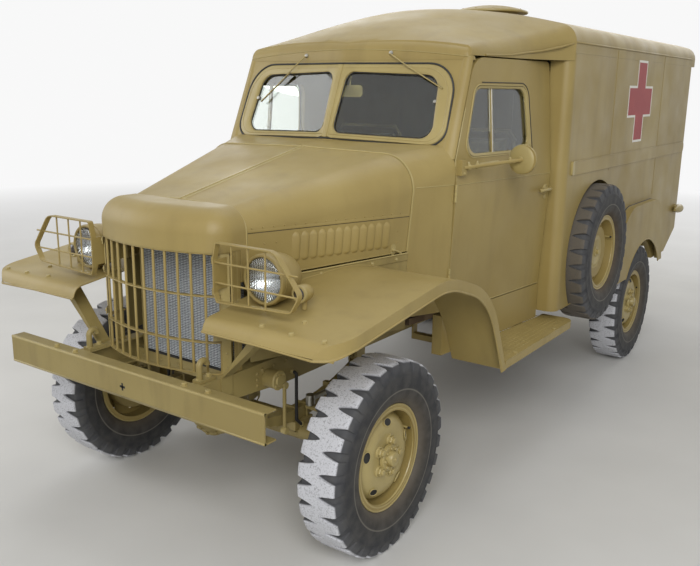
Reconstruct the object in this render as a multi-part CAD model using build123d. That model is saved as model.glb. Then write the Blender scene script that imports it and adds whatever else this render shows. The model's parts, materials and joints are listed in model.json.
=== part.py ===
from build123d import *
import math
import os

os.makedirs("parts", exist_ok=True)

# Overall sizes of the vehicle, in mm: front is -Y, the vehicle's left is +X, +Z is up
WHEELBASE = 3124
FRONT_OVERHANG = 644
REAR_OVERHANG = 1185
FENDER_X = 962
TRACK_FRONT = 1508
TRACK_REAR = 1565
SEAT_GAP = 0.3
LENGTH = FRONT_OVERHANG + WHEELBASE + REAR_OVERHANG
REAR_END = WHEELBASE + REAR_OVERHANG

# Wheels and tyres, with the lug tips at the tyre's radius
TYRE_R = 404
TYRE_W = 200
TREAD_HALF = 84
LUGS = 29
LUG_TIP = 12
GROOVE_W = 40
GROOVE_LOW = 390
BEAD_R = 204
RIM_W = 124
RIM_FLANGE_R = 222
RIM_FLANGE = 7
RIM_T = 8
DISC_T = 6
DISC_FACE = 21
DRUM_R = 150
DRUM_W = 72
HUB_R = 46
HUB_OUT = 96
SPINDLE_R = 28

# Steering geometry
KINGPIN_X = 655
BALL_R = 62
CUP_R = 80
STEER_ARM = 220
TIE_X = 600
TIE_Z = 330
DRAG_ARM = 235
DRAG_Z = 560
DRAG_LENGTH = 400

# Ladder frame
RAIL_X = 360
RAIL_W = 60
RAIL_TOP = 775
RAIL_H = 125
RAIL_T = 6
FRAME_END = REAR_END - 159

# Front bumper
BUMPER_HALF = 728
BUMPER_LOW = 668
BUMPER_TOP = 785
BUMPER_DEPTH = 60
BUMPER_T = 6
HOOK_X = 322
HOOK_R = 12

# Hood, nose and grille
SEAM_FRONT = -310
SEAM_REAR = 470
SHEET = 4
GRILLE_LOW = RAIL_TOP + SEAT_GAP
GRILLE_TOP = 1250
BAR_R = 5.5
BAR_COUNT = 13
HOOP_T = 5
HOOP_W = 18

# Cab
DOOR_FRONT = 706
DOOR_REAR = 1596
DOOR_LOW = 820
DOOR_TOP = 1996
DOOR_T = 42
BELT_Z = 1430
CAB_X_FRONT = 700
CAB_X_REAR = 790
PANEL_GAP = 6
WINDOW_LOW = 1550
WINDOW_TOP = DOOR_TOP - 128
SCREEN_RAKE = 0.40
SCREEN_SWEEP = 0.10
SCREEN_LOW = 1610
SCREEN_TOP = DOOR_TOP - 51
FRAME_TOP = DOOR_TOP + 4
GLASS_T = 5

# Ambulance body
BODY_X = 865
BODY_FRONT = 1610
BODY_END = REAR_END - 109
BODY_LOW = 660
WALL = 35
SIDE_TOP = DOOR_TOP + 44
CORNER_R = 100
FLOOR_Z = 800
FLOOR_T = 30
REAR_OPENING = 600
ARCH_Z = 640
FENDER_REAR_X = 915

# Running board, spare wheel and lamps
BOARD_TOP = 620
BOARD_X = 950
SPARE_X = 858
SPARE_S = 2160
SPARE_Z = 920
LAMP_X = 505
LAMP_S = -384
LAMP_Z = 1166
LAMP_R = 92

AXLE_Z = TYRE_R
FRONT_Y = FRONT_OVERHANG - LENGTH / 2
WHEEL_X_FRONT = TRACK_FRONT / 2
WHEEL_X_REAR = TRACK_REAR / 2

# Shapes of the pieces, in mm
HAND_HOLES = 10
HAND_HOLE_PCR = 168
HAND_HOLE_R = 12
LUG_COUNT = 5
LUG_PCR = 70
LUG_R = 15
DIFF_X = -120
DIFF_R = 138
SPRING_X = 345
SPRING_W = 45
SPRING_LOW = 462
LEAF_T = 7
LEAVES = 7
REAR_SPRING_X = 470
SHAFT_LINES = (
    ((0, 450, 700), (0, 805, 700), 90),
    ((0, 790, 695), (0, 1140, 690), 35),
)
EYE_PIN_R = 8
SPRING_EYE_FRONT = SPRING_LOW + LEAVES * LEAF_T + 95 + 6
SPRING_EYE_REAR = SPRING_LOW + LEAVES * LEAF_T + 120 + 6
CROSS_MEMBERS = (-250, 620, 1500, 2400)
TANK_FRONT = FRAME_END - 590
TANK_REAR = FRAME_END - 100
STEP_HALF = 300
STEP_S = REAR_END - 74
STEP_Z = 470
COLUMN_LOW = (335, 405, 850)
COLUMN_TOP = (355, 975, 1405)
# Hood and nose: half profiles from the middle out to the lower side edge
HOOD_SECTIONS = (
    # station, middle z, shoulder x, shoulder z, foot x, foot z, shoulder radius
    (SEAM_FRONT, 1410, 352, 1398, 346, 1125, 95),
    (SEAM_REAR, 1580, 632, 1568, 593, 1150, 150),
)
COWL_SECTIONS = (
    (SEAM_REAR, 1580, 632, 1568, 572, 836, 150),
    (DOOR_FRONT - PANEL_GAP, 1612, 702, 1602, 672, 836, 110),
)
HINGE_GAP = 3
FRONT_ARC_R = 763
FRONT_ARC_C = 238
FRONT_CORNER = 105
HOOPS = (GRILLE_TOP - HOOP_T, 1081, 900, GRILLE_LOW)
# Lamp guard, seen from the front: x, z
GUARD = ((345, 1240), (360, 1303), (640, 1303), (752, 1160), (712, 1092), (360, 1076), (345, 1110))
GUARD_S = -486
GUARD_D = 24
MARKER_X = 650
MARKER_S = -360
MARKER_Z = 1130
# Crest line of the front fender, seen from the side: station, z, with its corner radii
FENDER_CREST = ((-575, 990), (-558, 1036), (200, 1136), (590, 1005), (786, 575))
FENDER_BENDS = (50, 500, 450)
FENDER_LIP = 46
FENDER_T = 4
# Cab: the doors lie on planes that open out towards the rear
CAB_ANGLE = math.degrees(math.atan2(CAB_X_REAR - CAB_X_FRONT, DOOR_REAR - 696))
# Cab side cross section from the sill to the roof: inset from the belt, z
CAB_PROFILE = ((30, DOOR_LOW), (2, 1330), (0, BELT_Z), (48, DOOR_TOP))
DOOR_LENGTH = (DOOR_REAR - DOOR_FRONT + PANEL_GAP) / math.cos(math.radians(CAB_ANGLE))
MIRROR_R = 66
PANE = ((12, SCREEN_LOW + 12), (24, SCREEN_TOP), (545, SCREEN_TOP - 18), (580, SCREEN_LOW))
WHEELHOUSE_X = 640
WHEELHOUSE_R = 455
PILLAR_R = 55
BELT_LOW = 1406
BELT_HIGH = 1482
BELT_PROUD = 6
CAB_ROOF_LOW = DOOR_TOP + 6
# Roof sections from the header back: station, half width, height of the corner's foot and of the
# crown over the door top, corner radius
ROOF_SECTIONS = (
    (765, 600, 7, 26, 12),
    (850, 655, 8, 84, 38),
    (960, 682, 10, 140, 60),
    (1180, 702, 18, 216, 85),
    (1420, 748, 45, 268, 95),
    (1640, BODY_X, 97, 290, 95),
)
VENT_S = 2400
VENT_R = 235
VENT_TOP = 2375
# Front apron between the fender's inner edge and the hood: its plan line, x and station
APRON = ((358, SEAM_FRONT), (600, SEAM_REAR))
APRON_LOW = 795
LOUVRES = 12
LOUVRE_FRONT = -108
LOUVRE_PITCH = 40
LOUVRE_LOW = 1190
LOUVRE_TOP = 1276
LOUVRE_PROUD = 9
STAY_S = -474
STAY_W = 60
REAR_DOOR_LOW = 836
REAR_HINGES = (1000, 1430, SIDE_TOP - 180)
REAR_DOOR_TOP = SIDE_TOP - 10


def at(s):
    """Y of a station, the distance behind the front axle."""
    return FRONT_Y + s


def box(x0, x1, s0, s1, z0, z1):
    """Block between two corners, its length given by stations."""
    return Pos((x0 + x1) / 2, at((s0 + s1) / 2), (z0 + z1) / 2) * Box(x1 - x0, s1 - s0, z1 - z0)


def rod(p0, p1, r):
    """Round bar between two (x, station, z) points."""
    a = Vector(p0[0], at(p0[1]), p0[2])
    b = Vector(p1[0], at(p1[1]), p1[2])
    stand = (Align.CENTER, Align.CENTER, Align.MIN)
    return Plane(origin=a, z_dir=b - a) * Cylinder(r, (b - a).length, align=stand)


def face_of(points, radius=0):
    """Flat face from corner points, rounded where a radius is given."""
    if radius:
        return make_face(FilletPolyline(*points, radius=radius, close=True))
    return make_face(Polyline(*points, close=True))


def prism_x(points, x0, x1, radius=0):
    """Side outline of (station, z) points, extruded across the vehicle."""
    face = face_of([(x0, at(s), z) for s, z in points], radius)
    return extrude(face, amount=x1 - x0, dir=(1, 0, 0))


def prism_y(points, s0, s1, radius=0):
    """Cross section of (x, z) points, extruded along the vehicle."""
    face = face_of([(x, at(s0), z) for x, z in points], radius)
    return extrude(face, amount=s1 - s0, dir=(0, 1, 0))


def prism_z(points, z0, z1, radius=0):
    """Plan outline of (x, station) points, extruded upwards."""
    face = face_of([(x, at(s), z0) for x, s in points], radius)
    return extrude(face, amount=z1 - z0, dir=(0, 0, 1))


def right_of(shape):
    """The same piece on the vehicle's other side."""
    return mirror(shape, about=Plane.YZ)


def group(*shapes):
    """Loose solids that share a node."""
    solids = []
    for shape in shapes:
        solids.extend(shape.solids())
    return Compound(solids)


def both(shape):
    """A left piece and its mirror image."""
    return group(shape, right_of(shape))


# Wheels: profiles are (out, radius) from the wheel's centre plane
def turned(profile, x, s, z, radius=0):
    """Ring or disc turned about an axis across the vehicle."""
    face = face_of([(x + a, at(s), z + r) for a, r in profile], radius)
    return revolve(face, axis=Axis((x, at(s), z), (1, 0, 0)))


def tyre_sector():
    """One pitch of a tyre on an axis through the origin, with planar faces and a pocket each side."""
    turn = 180 / LUGS
    slope = math.tan(math.radians(turn))
    bead = RIM_W / 2
    wall = TYRE_W / 2 - 2
    profile = ((-bead, BEAD_R), (-bead, RIM_FLANGE_R + 2), (-wall, 300), (-TREAD_HALF, TYRE_R),
               (TREAD_HALF, TYRE_R), (wall, 300), (bead, RIM_FLANGE_R + 2), (bead, BEAD_R))
    block = extrude(make_face(Polyline(*[(a, 0, r) for a, r in profile], close=True)), amount=60,
                    dir=(0, 1, 0), both=True)
    reach = TYRE_R + 20
    wedge = extrude(make_face(Polyline((-150, 0, 0), (-150, -reach * slope, reach),
                                       (-150, reach * slope, reach), close=True)), amount=300, dir=(1, 0, 0))
    sector = block & wedge
    out = TREAD_HALF + 46
    wide = GROOVE_W / 2 * (out - LUG_TIP) / (TREAD_HALF - LUG_TIP)
    plan = extrude(make_face(Polyline((LUG_TIP, 0, 320), (out, -wide, 320), (out, wide, 320), close=True)),
                   amount=130, dir=(0, 0, 1))
    depth = extrude(make_face(Polyline((LUG_TIP - 1, 60, GROOVE_LOW), (out + 1, 60, GROOVE_LOW - 45),
                                       (out + 1, 60, 460), (LUG_TIP - 1, 60, 460), close=True)),
                    amount=120, dir=(0, -1, 0))
    pocket = plan & depth
    far = mirror(pocket, about=Plane.YZ)
    return sector - pocket - Rot(X=turn) * far - Rot(X=-turn) * far


def tyre(x, s, z):
    """Tyre with pockets from both shoulders in turn, standing on one flat of its tread."""
    sector = tyre_sector()
    ring = sector.fuse(*[Rot(X=360 / LUGS * k) * sector for k in range(1, LUGS)])
    return Pos(x, at(s), z) * Rot(X=180) * ring


def rim(x, s, z):
    half = RIM_W / 2
    band = turned([
        (-half + SEAT_GAP, BEAD_R - SEAT_GAP), (-half + SEAT_GAP, BEAD_R - RIM_T),
        (half - SEAT_GAP, BEAD_R - RIM_T), (half - SEAT_GAP, BEAD_R - SEAT_GAP)], x, s, z)
    flange = turned([
        (half + SEAT_GAP, RIM_FLANGE_R), (half + RIM_FLANGE, RIM_FLANGE_R),
        (half + RIM_FLANGE, BEAD_R - RIM_T), (half - 2, BEAD_R - RIM_T),
        (half - 2, BEAD_R - SEAT_GAP - 1), (half + SEAT_GAP, BEAD_R - SEAT_GAP - 1)], x, s, z)
    back = turned([
        (-half - SEAT_GAP, RIM_FLANGE_R), (-half - RIM_FLANGE, RIM_FLANGE_R),
        (-half - RIM_FLANGE, BEAD_R - RIM_T), (-half + 2, BEAD_R - RIM_T),
        (-half + 2, BEAD_R - SEAT_GAP - 1), (-half - SEAT_GAP, BEAD_R - SEAT_GAP - 1)], x, s, z)
    inner = BEAD_R - RIM_T + 1
    disc = turned([
        (0, inner), (14, inner - 20), (34, 150), (30, 105), (DISC_FACE + DISC_T, 95), (DISC_FACE + DISC_T, 38),
        (DISC_FACE, 38), (DISC_FACE, 97), (24, 107), (28, 150), (8, inner - 20), (-6, inner)], x, s, z)
    holes = [Pos(x, at(s), z) * Rot(X=360 / HAND_HOLES * k) * Pos(20, 0, HAND_HOLE_PCR)
             * Rot(Y=90) * Cylinder(HAND_HOLE_R, 60) for k in range(HAND_HOLES)]
    return band + flange + back + disc - holes


def hub(x, s, z):
    """Brake drum, hub barrel, axle flange and lug nuts."""
    face = DISC_FACE
    back = face - DRUM_W
    drum = turned([
        (back, DRUM_R), (face, DRUM_R), (face, SPINDLE_R + 6), (face - 6, SPINDLE_R + 6),
        (face - 6, DRUM_R - 6), (back, DRUM_R - 6)], x, s, z)
    barrel = turned([
        (face - 6, SPINDLE_R + 1), (face - 6, HUB_R), (face + 44, HUB_R), (face + 44, 52),
        (face + 54, 52), (face + 54, 34), (HUB_OUT, 30), (HUB_OUT, 0), (face + 40, 0),
        (face + 40, SPINDLE_R + 1)], x, s, z)
    nuts = [Pos(x, at(s), z) * Rot(X=360 / LUG_COUNT * k) * Pos(face + 14, 0, LUG_PCR)
            * Rot(Y=90) * Cylinder(LUG_R, 28) for k in range(LUG_COUNT)]
    return drum + barrel + nuts


def wheel(x, s, z):
    return rim(x, s, z) + hub(x, s, z)


# Steering knuckle on the left, turning about its kingpin
def knuckle():
    """Left steering knuckle: open cup over the axle's ball, kingpin caps, spindle and arms."""
    x, z = KINGPIN_X, AXLE_Z
    bore = BALL_R + SEAT_GAP + 3
    plate_x = WHEEL_X_FRONT + DISC_FACE - DRUM_W - 8
    spindle_end = WHEEL_X_FRONT + DISC_FACE + 34
    end = plate_x - x
    body = turned([(-8, bore), (-8, CUP_R), (end, CUP_R), (end, DRUM_R - 2), (end + 5, DRUM_R - 2),
                   (end + 5, 66), (62, 46), (76, SPINDLE_R), (spindle_end - x, SPINDLE_R),
                   (spindle_end - x, 0), (66, 0), (66, 15), (50, 42), (30, bore)], x, 0, z)
    arm_z = TIE_Z - 26
    body += rod((x, 0, arm_z), (x, 0, z - CUP_R + 8), 28)
    body += prism_z([(TIE_X - 16, STEER_ARM + 16), (TIE_X + 16, STEER_ARM + 16), (x + 26, 0),
                     (x - 26, 0)], arm_z, arm_z + 14)
    upper_z = DRAG_Z - 26
    body += rod((x, 0, z + CUP_R - 8), (x, 0, upper_z), 24)
    body += prism_z([(x + 22, -24), (x + 22, 24), (x - DRAG_ARM - 16, 16), (x - DRAG_ARM - 16, -16)],
                    upper_z - 14, upper_z)
    for a, b in ((BALL_R + SEAT_GAP, CUP_R - 5), (-CUP_R + 5, -BALL_R - SEAT_GAP)):
        body += rod((x, 0, z + a), (x, 0, z + b), 10)
    return body


def tie_rod():
    bar = rod((-TIE_X, STEER_ARM, TIE_Z + 16), (TIE_X, STEER_ARM, TIE_Z + 16), 14)
    for x in (-TIE_X, TIE_X):
        bar += rod((x, STEER_ARM, TIE_Z - 12 + SEAT_GAP), (x, STEER_ARM, TIE_Z + 38), 20)
    return bar


def drag_link():
    x = KINGPIN_X - DRAG_ARM
    bar = rod((x, 0, DRAG_Z), (x, DRAG_LENGTH, DRAG_Z), 12)
    bar += rod((x, 0, DRAG_Z - 26 + SEAT_GAP), (x, 0, DRAG_Z + 20), 20)
    bar += rod((x - 18, DRAG_LENGTH, DRAG_Z), (x + 18, DRAG_LENGTH, DRAG_Z), 20)
    return bar


def pitman_arm():
    x = KINGPIN_X - DRAG_ARM - 26
    top = DRAG_Z + DRAG_ARM
    arm = prism_x([(DRAG_LENGTH - 16, DRAG_Z - 18), (DRAG_LENGTH + 16, DRAG_Z - 18),
                   (DRAG_LENGTH + 24, top + 24), (DRAG_LENGTH - 24, top + 24)], x - 14, x, 10)
    return arm


def front_axle():
    tube = rod((-KINGPIN_X, 0, AXLE_Z), (KINGPIN_X, 0, AXLE_Z), 38)
    case = Pos(DIFF_X, at(0), AXLE_Z) * Sphere(DIFF_R)
    nose = rod((DIFF_X, 60, AXLE_Z), (DIFF_X, 215, AXLE_Z), 44)
    axle = tube + case + nose
    for side in (-1, 1):
        axle += Pos(side * KINGPIN_X, at(0), AXLE_Z) * Sphere(BALL_R)
        axle += box(side * SPRING_X - 40, side * SPRING_X + 40, -60, 60, AXLE_Z + 20, SPRING_LOW)
    return axle


def rear_axle():
    end = WHEEL_X_REAR + DISC_FACE + 34
    tube = rod((-end, WHEELBASE, AXLE_Z), (end, WHEELBASE, AXLE_Z), SPINDLE_R)
    inner = WHEEL_X_REAR + DISC_FACE - DRUM_W - 8
    tube += rod((-inner, WHEELBASE, AXLE_Z), (inner, WHEELBASE, AXLE_Z), 40)
    tube += Pos(DIFF_X, at(WHEELBASE), AXLE_Z) * Sphere(DIFF_R)
    tube += rod((DIFF_X, WHEELBASE - 215, AXLE_Z), (DIFF_X, WHEELBASE, AXLE_Z), 44)
    for side in (-1, 1):
        tube += rod((side * inner, WHEELBASE, AXLE_Z), (side * (inner + 5), WHEELBASE, AXLE_Z), DRUM_R - 2)
        x = side * REAR_SPRING_X
        tube += box(x - 40, x + 40, WHEELBASE - 60, WHEELBASE + 60, AXLE_Z + 20, SPRING_LOW)
    return tube


def leaf_pack(x, s_mid, half_length, camber, leaves):
    """Stack of leaves on one centre, shorter towards the axle, with rolled eyes."""
    radius = (half_length ** 2 + camber ** 2) / (2 * camber)
    top = SPRING_LOW + leaves * LEAF_T
    centre_z = top + radius
    pack = None
    for k in range(leaves):
        outer = radius + LEAF_T * (k + 1)
        inner = radius + LEAF_T * k
        reach = half_length * (1 - 0.11 * k)
        angle = math.asin(reach / radius)
        inside = arc_points(x, s_mid, centre_z, inner, angle)
        outside = arc_points(x, s_mid, centre_z, outer, angle)
        face = make_face([
            ThreePointArc(*inside),
            Line(inside[2], outside[2]),
            ThreePointArc(*reversed(outside)),
            Line(outside[0], inside[0]),
        ])
        leaf = extrude(face, amount=SPRING_W, dir=(1, 0, 0))
        pack = leaf if pack is None else pack + leaf
    eye_z = top + camber
    for side in (-1, 1):
        s = s_mid + side * half_length
        pack += rod((x - SPRING_W / 2, s, eye_z + 6), (x + SPRING_W / 2, s, eye_z + 6), 17)
        pack -= rod((x - SPRING_W, s, eye_z + 6), (x + SPRING_W, s, eye_z + 6), EYE_PIN_R + SEAT_GAP)
    return pack


def arc_points(x, s_mid, centre_z, radius, angle):
    """Start, middle and end of a spring leaf's arc."""
    x0 = x - SPRING_W / 2
    ds = radius * math.sin(angle)
    dz = radius * math.cos(angle)
    return [(x0, at(s_mid - ds), centre_z - dz), (x0, at(s_mid), centre_z - radius),
            (x0, at(s_mid + ds), centre_z - dz)]


def brake_hose():
    """Front brake hose from a clip on the rail to the axle tube."""
    route = FilletPolyline((RAIL_X + SEAT_GAP, at(-60), 690), (392, at(-60), 690), (392, at(-60), 480),
                           (392, at(-20), AXLE_Z + 36), radius=[12, 16])
    start = Plane(origin=route @ 0, z_dir=route % 0)
    return sweep(start * Circle(7), path=route)


def suspension():
    """Leaf springs, front lever shock absorbers with their links, and brake hoses."""
    front = leaf_pack(SPRING_X, 0, 450, 95, LEAVES)
    rear = leaf_pack(REAR_SPRING_X, WHEELBASE, 560, 120, LEAVES)
    shock_x = RAIL_X + SEAT_GAP
    shock = rod((shock_x, -205, 705), (shock_x + 62, -205, 705), 38)
    shock += prism_x([(-225, 688), (-195, 722), (-150, 670), (-165, 655)], shock_x + 44, shock_x + 56)
    shock += rod((shock_x + 50, -160, 470), (shock_x + 50, -160, 670), 8)
    shock += rod((shock_x + 40, -160, 470), (shock_x + 60, -160, 470), 15)
    hose = brake_hose()
    left = (front, rear, shock, hose)
    return group(*left, *[right_of(piece) for piece in left])


def frame_rails():
    """Two channel rails with their spring hangers."""
    low = RAIL_TOP - RAIL_H
    horn_low = BUMPER_LOW + BUMPER_T + SEAT_GAP
    front = -FRONT_OVERHANG + BUMPER_T + SEAT_GAP
    side = [(front, horn_low), (front, RAIL_TOP), (FRAME_END, RAIL_TOP), (FRAME_END, low), (-100, low),
            (-420, horn_low)]
    web = prism_x(side, RAIL_X - RAIL_T, RAIL_X)
    full = prism_x(side, RAIL_X - RAIL_W, RAIL_X)
    space = prism_x([(front - 1, horn_low + RAIL_T), (front - 1, RAIL_TOP - RAIL_T),
                     (FRAME_END + 1, RAIL_TOP - RAIL_T), (FRAME_END + 1, low + RAIL_T), (-99, low + RAIL_T),
                     (-419, horn_low + RAIL_T)], RAIL_X - RAIL_W - 1, RAIL_X - RAIL_T)
    rail = web + (full - space)
    for s in (-450, 450):
        rail += box(SPRING_X - 34, SPRING_X - 24, s - 20, s + 20, 590, low + 30)
        rail += box(SPRING_X + 24, SPRING_X + 34, s - 20, s + 20, 590, low + 30)
        rail += box(SPRING_X - 34, SPRING_X + 34, s - 20, s + 20, low - 6, low + 30)
        rail += rod((SPRING_X - 34, s, SPRING_EYE_FRONT), (SPRING_X + 34, s, SPRING_EYE_FRONT), EYE_PIN_R)
    for s in (WHEELBASE - 560, WHEELBASE + 560):
        x = REAR_SPRING_X
        rail += box(x + 24, x + 34, s - 20, s + 20, 605, RAIL_TOP - 10)
        rail += box(x - 34, x - 24, s - 20, s + 20, 605, RAIL_TOP - 10)
        rail += rod((RAIL_X - 2, s, RAIL_TOP - 40), (x + 34, s, RAIL_TOP - 40), 22)
        rail += rod((x - 34, s, SPRING_EYE_REAR), (x + 34, s, SPRING_EYE_REAR), EYE_PIN_R)
    return both(rail)


def cross_members():
    """Members between the rails, and the rear beam with its bumperettes and step brackets."""
    low = RAIL_TOP - RAIL_H
    inside = RAIL_X - RAIL_T - SEAT_GAP
    members = [box(-inside, inside, s - 30, s + 30, low + 21, low + 60) for s in CROSS_MEMBERS]
    members.append(box(-inside, inside, FRAME_END - 60, FRAME_END, low + RAIL_T + SEAT_GAP,
                       RAIL_TOP - RAIL_T - SEAT_GAP))
    pieces = group(*members)
    for start, end, r in SHAFT_LINES:
        pieces -= rod(start, end, r + 15)
    face = FRAME_END + SEAT_GAP
    beam = box(-525, 525, face, FRAME_END + 24, 640, 690)
    for side_x in (-1, 1):
        beam += box(side_x * 600 - 150, side_x * 600 + 150, REAR_END - 30, REAR_END, 600, 700)
        beam += box(side_x * 500 - 24, side_x * 500 + 24, face, REAR_END - 25, 640, 690)
    for x in (-STEP_HALF - 14, STEP_HALF + 8):
        beam += prism_x([(face, 690), (FRAME_END + 20, 690), (STEP_S + 14, STEP_Z + 14),
                         (STEP_S + 14, STEP_Z - 14), (STEP_S - 14, STEP_Z - 14), (face, 640)], x, x + 6)
    return group(pieces, beam)


def rear_step():
    """Folding step, stowed upright below the rear doors."""
    tread = box(-STEP_HALF, STEP_HALF, STEP_S - 12, STEP_S + 13, STEP_Z + 20, STEP_Z + 250)
    arms = [box(x, x + 12, STEP_S - 12, STEP_S + 13, STEP_Z - 12, STEP_Z + 30)
            for x in (-STEP_HALF, STEP_HALF - 12)]
    reach = STEP_HALF + 8 - SEAT_GAP
    pin = rod((-reach, STEP_S, STEP_Z), (reach, STEP_S, STEP_Z), 8)
    return tread + arms + pin


def front_bumper():
    face = -FRONT_OVERHANG
    back = face + BUMPER_DEPTH
    shell = box(-BUMPER_HALF, BUMPER_HALF, face, back, BUMPER_LOW, BUMPER_TOP)
    hollow = box(-BUMPER_HALF - 1, BUMPER_HALF + 1, face + BUMPER_T, back + 1,
                 BUMPER_LOW + BUMPER_T, BUMPER_TOP - BUMPER_T)
    return shell - hollow


def tow_hooks():
    x = HOOK_X
    base = box(x - 22, x + 22, -560, -480, RAIL_TOP + SEAT_GAP, RAIL_TOP + 12)
    z0 = RAIL_TOP + 4
    path = Line((x, at(-545), z0), (x, at(-545), 836)) + ThreePointArc(
        (x, at(-545), 836), (x, at(-525), 856), (x, at(-505), 836))
    hook = sweep(Plane(origin=(x, at(-545), z0), z_dir=(0, 0, 1)) * Circle(HOOK_R), path=path)
    return both(base + hook)


def powertrain():
    """Engine as a plain block, gearbox, transfer case and propeller shafts."""
    engine = box(-170, 170, -130, 452, 640, 1160)
    for side in (-1, 1):
        x0, x1 = sorted((side * 160, side * (RAIL_X - RAIL_T - SEAT_GAP)))
        engine += box(x0, x1, 120, 180, 690, 730)
    (g0, g1, gr), (m0, m1, mr) = SHAFT_LINES
    gearbox = rod(g0, g1, gr)
    main = rod(m0, m1, mr)
    transfer = box(-210, 110, 1120, 1340, 560, 760)
    for x0, x1 in ((-RAIL_X + RAIL_T + SEAT_GAP, -200), (100, RAIL_X - RAIL_T - SEAT_GAP)):
        transfer += box(x0, x1, 1200, 1260, 690, 730)
    joint_z = AXLE_Z
    pieces = engine + gearbox + main + transfer
    for near, far, case_s, case_z in ((215 + SEAT_GAP, 235, 1140, 610),
                                      (WHEELBASE - 215 - SEAT_GAP, WHEELBASE - 235, 1320, 620)):
        pieces += rod((DIFF_X, near, joint_z), (DIFF_X, far, joint_z), 40)
        pieces += rod((DIFF_X, (near + far) / 2, joint_z), (DIFF_X, case_s, case_z), 28)
    return pieces


def steering_gear():
    """Steering box on the left rail with its column."""
    arm_x = KINGPIN_X - DRAG_ARM - 26
    top = DRAG_Z + DRAG_ARM
    gear = box(290, 372, DRAG_LENGTH - 50, DRAG_LENGTH + 60, RAIL_TOP + SEAT_GAP, top + 70)
    gear += rod((372, DRAG_LENGTH, top), (arm_x - 14 - SEAT_GAP, DRAG_LENGTH, top), 16)
    a = COLUMN_LOW
    b = COLUMN_TOP
    gear += rod(a, b, 22)
    return gear


def column_axis():
    a = Vector(COLUMN_LOW[0], at(COLUMN_LOW[1]), COLUMN_LOW[2])
    b = Vector(COLUMN_TOP[0], at(COLUMN_TOP[1]), COLUMN_TOP[2])
    return b, (b - a).normalized()


def steering_wheel():
    top, direction = column_axis()
    plane = Plane(origin=top + direction * 45, z_dir=direction)
    ring = plane * Torus(205, 12)
    wheel_hub = Plane(origin=top + direction * 1, z_dir=direction) * Cylinder(
        32, 55, align=(Align.CENTER, Align.CENTER, Align.MIN))
    spokes = [plane * Rot(Z=120 * k) * Pos(105, 0, 0) * Box(205, 16, 8) for k in range(3)]
    return ring + wheel_hub + spokes


def radiator():
    """Core with its tanks, on two feet that stand on the front cross member."""
    core = box(-255, 255, -300, -225, 800, 1235)
    foot_z = RAIL_TOP - RAIL_H + 60 + SEAT_GAP
    for x in (-230, 180):
        core += box(x, x + 50, -280, -240, foot_z, 810)
    return core


def exhaust():
    """Down pipe, muffler and tail pipe, hung from the right rail."""
    x = -480
    z = 505
    route = ((-170 - SEAT_GAP, 300, 700), (-240, 300, 700), (-240, 300, 590), (-240, 640, 590), (x, 820, z),
             (x, 2450, z))
    pipe = None
    for a, b in zip(route, route[1:]):
        run = rod(a, b, 24)
        pipe = run if pipe is None else pipe + run
        if b != route[-1]:
            pipe += Pos(b[0], at(b[1]), b[2]) * Sphere(24)
    pipe += rod((x, 1100, z), (x, 1700, z), 70)
    for s in (1240, 2300):
        pipe += box(x - 3, -RAIL_X - SEAT_GAP, s - 15, s + 15, 700, 706)
        pipe += box(x - 3, x + 3, s - 15, s + 15, z + 20, 706)
    return pipe


def fuel_tank():
    """Rounded tank between the rails, with mounting ears."""
    tank = prism_y([(-240, 560), (240, 560), (240, 768), (-240, 768)], TANK_FRONT, TANK_REAR, 30)
    ear = RAIL_X - RAIL_T - SEAT_GAP
    for s in (TANK_FRONT + 90, TANK_REAR - 100):
        tank += box(-ear, ear, s - 20, s + 20, 700, 708)
    return tank


def half_section(section, inset, low):
    """Half cross section with a rounded shoulder, as a face."""
    s, mid, sx, sz, fx, fz, r = section
    y = at(s)
    x1, z1 = sx - inset, sz - inset
    a = Vector(0, y, mid - inset)
    b = Vector(x1, y, z1)
    c = Vector(fx - inset, y, fz - low)
    to_a = (a - b).normalized()
    to_c = (c - b).normalized()
    half = math.radians(to_a.get_angle(to_c)) / 2
    run = (r - inset) / math.tan(half)
    p = b + to_a * run
    q = b + to_c * run
    m = b + (to_a + to_c).normalized() * ((r - inset) / math.sin(half) - (r - inset))
    return make_face([Line(a, p), ThreePointArc(p, m, q), Line(q, c), Line(c, (0, y, fz - low)),
                      Line((0, y, fz - low), a)])


def half_loft(sections, inset, low=0):
    """Loft of half sections, made solid from the middle plane out."""
    return loft([half_section(s, inset, low) for s in sections], ruled=True)


def hood_side_x(s, z):
    """Width of the hood's side at a station and height."""
    (s0, _, sx0, sz0, fx0, fz0, _), (s1, _, sx1, sz1, fx1, fz1, _) = HOOD_SECTIONS
    k = (s - s0) / (s1 - s0)
    sx, sz = sx0 + k * (sx1 - sx0), sz0 + k * (sz1 - sz0)
    fx, fz = fx0 + k * (fx1 - fx0), fz0 + k * (fz1 - fz0)
    return fx + (sx - fx) * (z - fz) / (sz - fz)


def louvre(s):
    """Pressed louvre, flush at its front and raised at its rear."""
    ends = []
    for z, proud in ((LOUVRE_LOW - 8, -1), (LOUVRE_LOW, LOUVRE_PROUD), (LOUVRE_TOP, LOUVRE_PROUD),
                     (LOUVRE_TOP + 8, -1)):
        front, rear = hood_side_x(s, z), hood_side_x(s + 20, z)
        ends.append(make_face(Polyline((front - 2, at(s), z), (rear + proud, at(s + 20), z),
                                       (rear - 2, at(s + 20), z), close=True)))
    return loft(ends, ruled=True)


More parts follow.
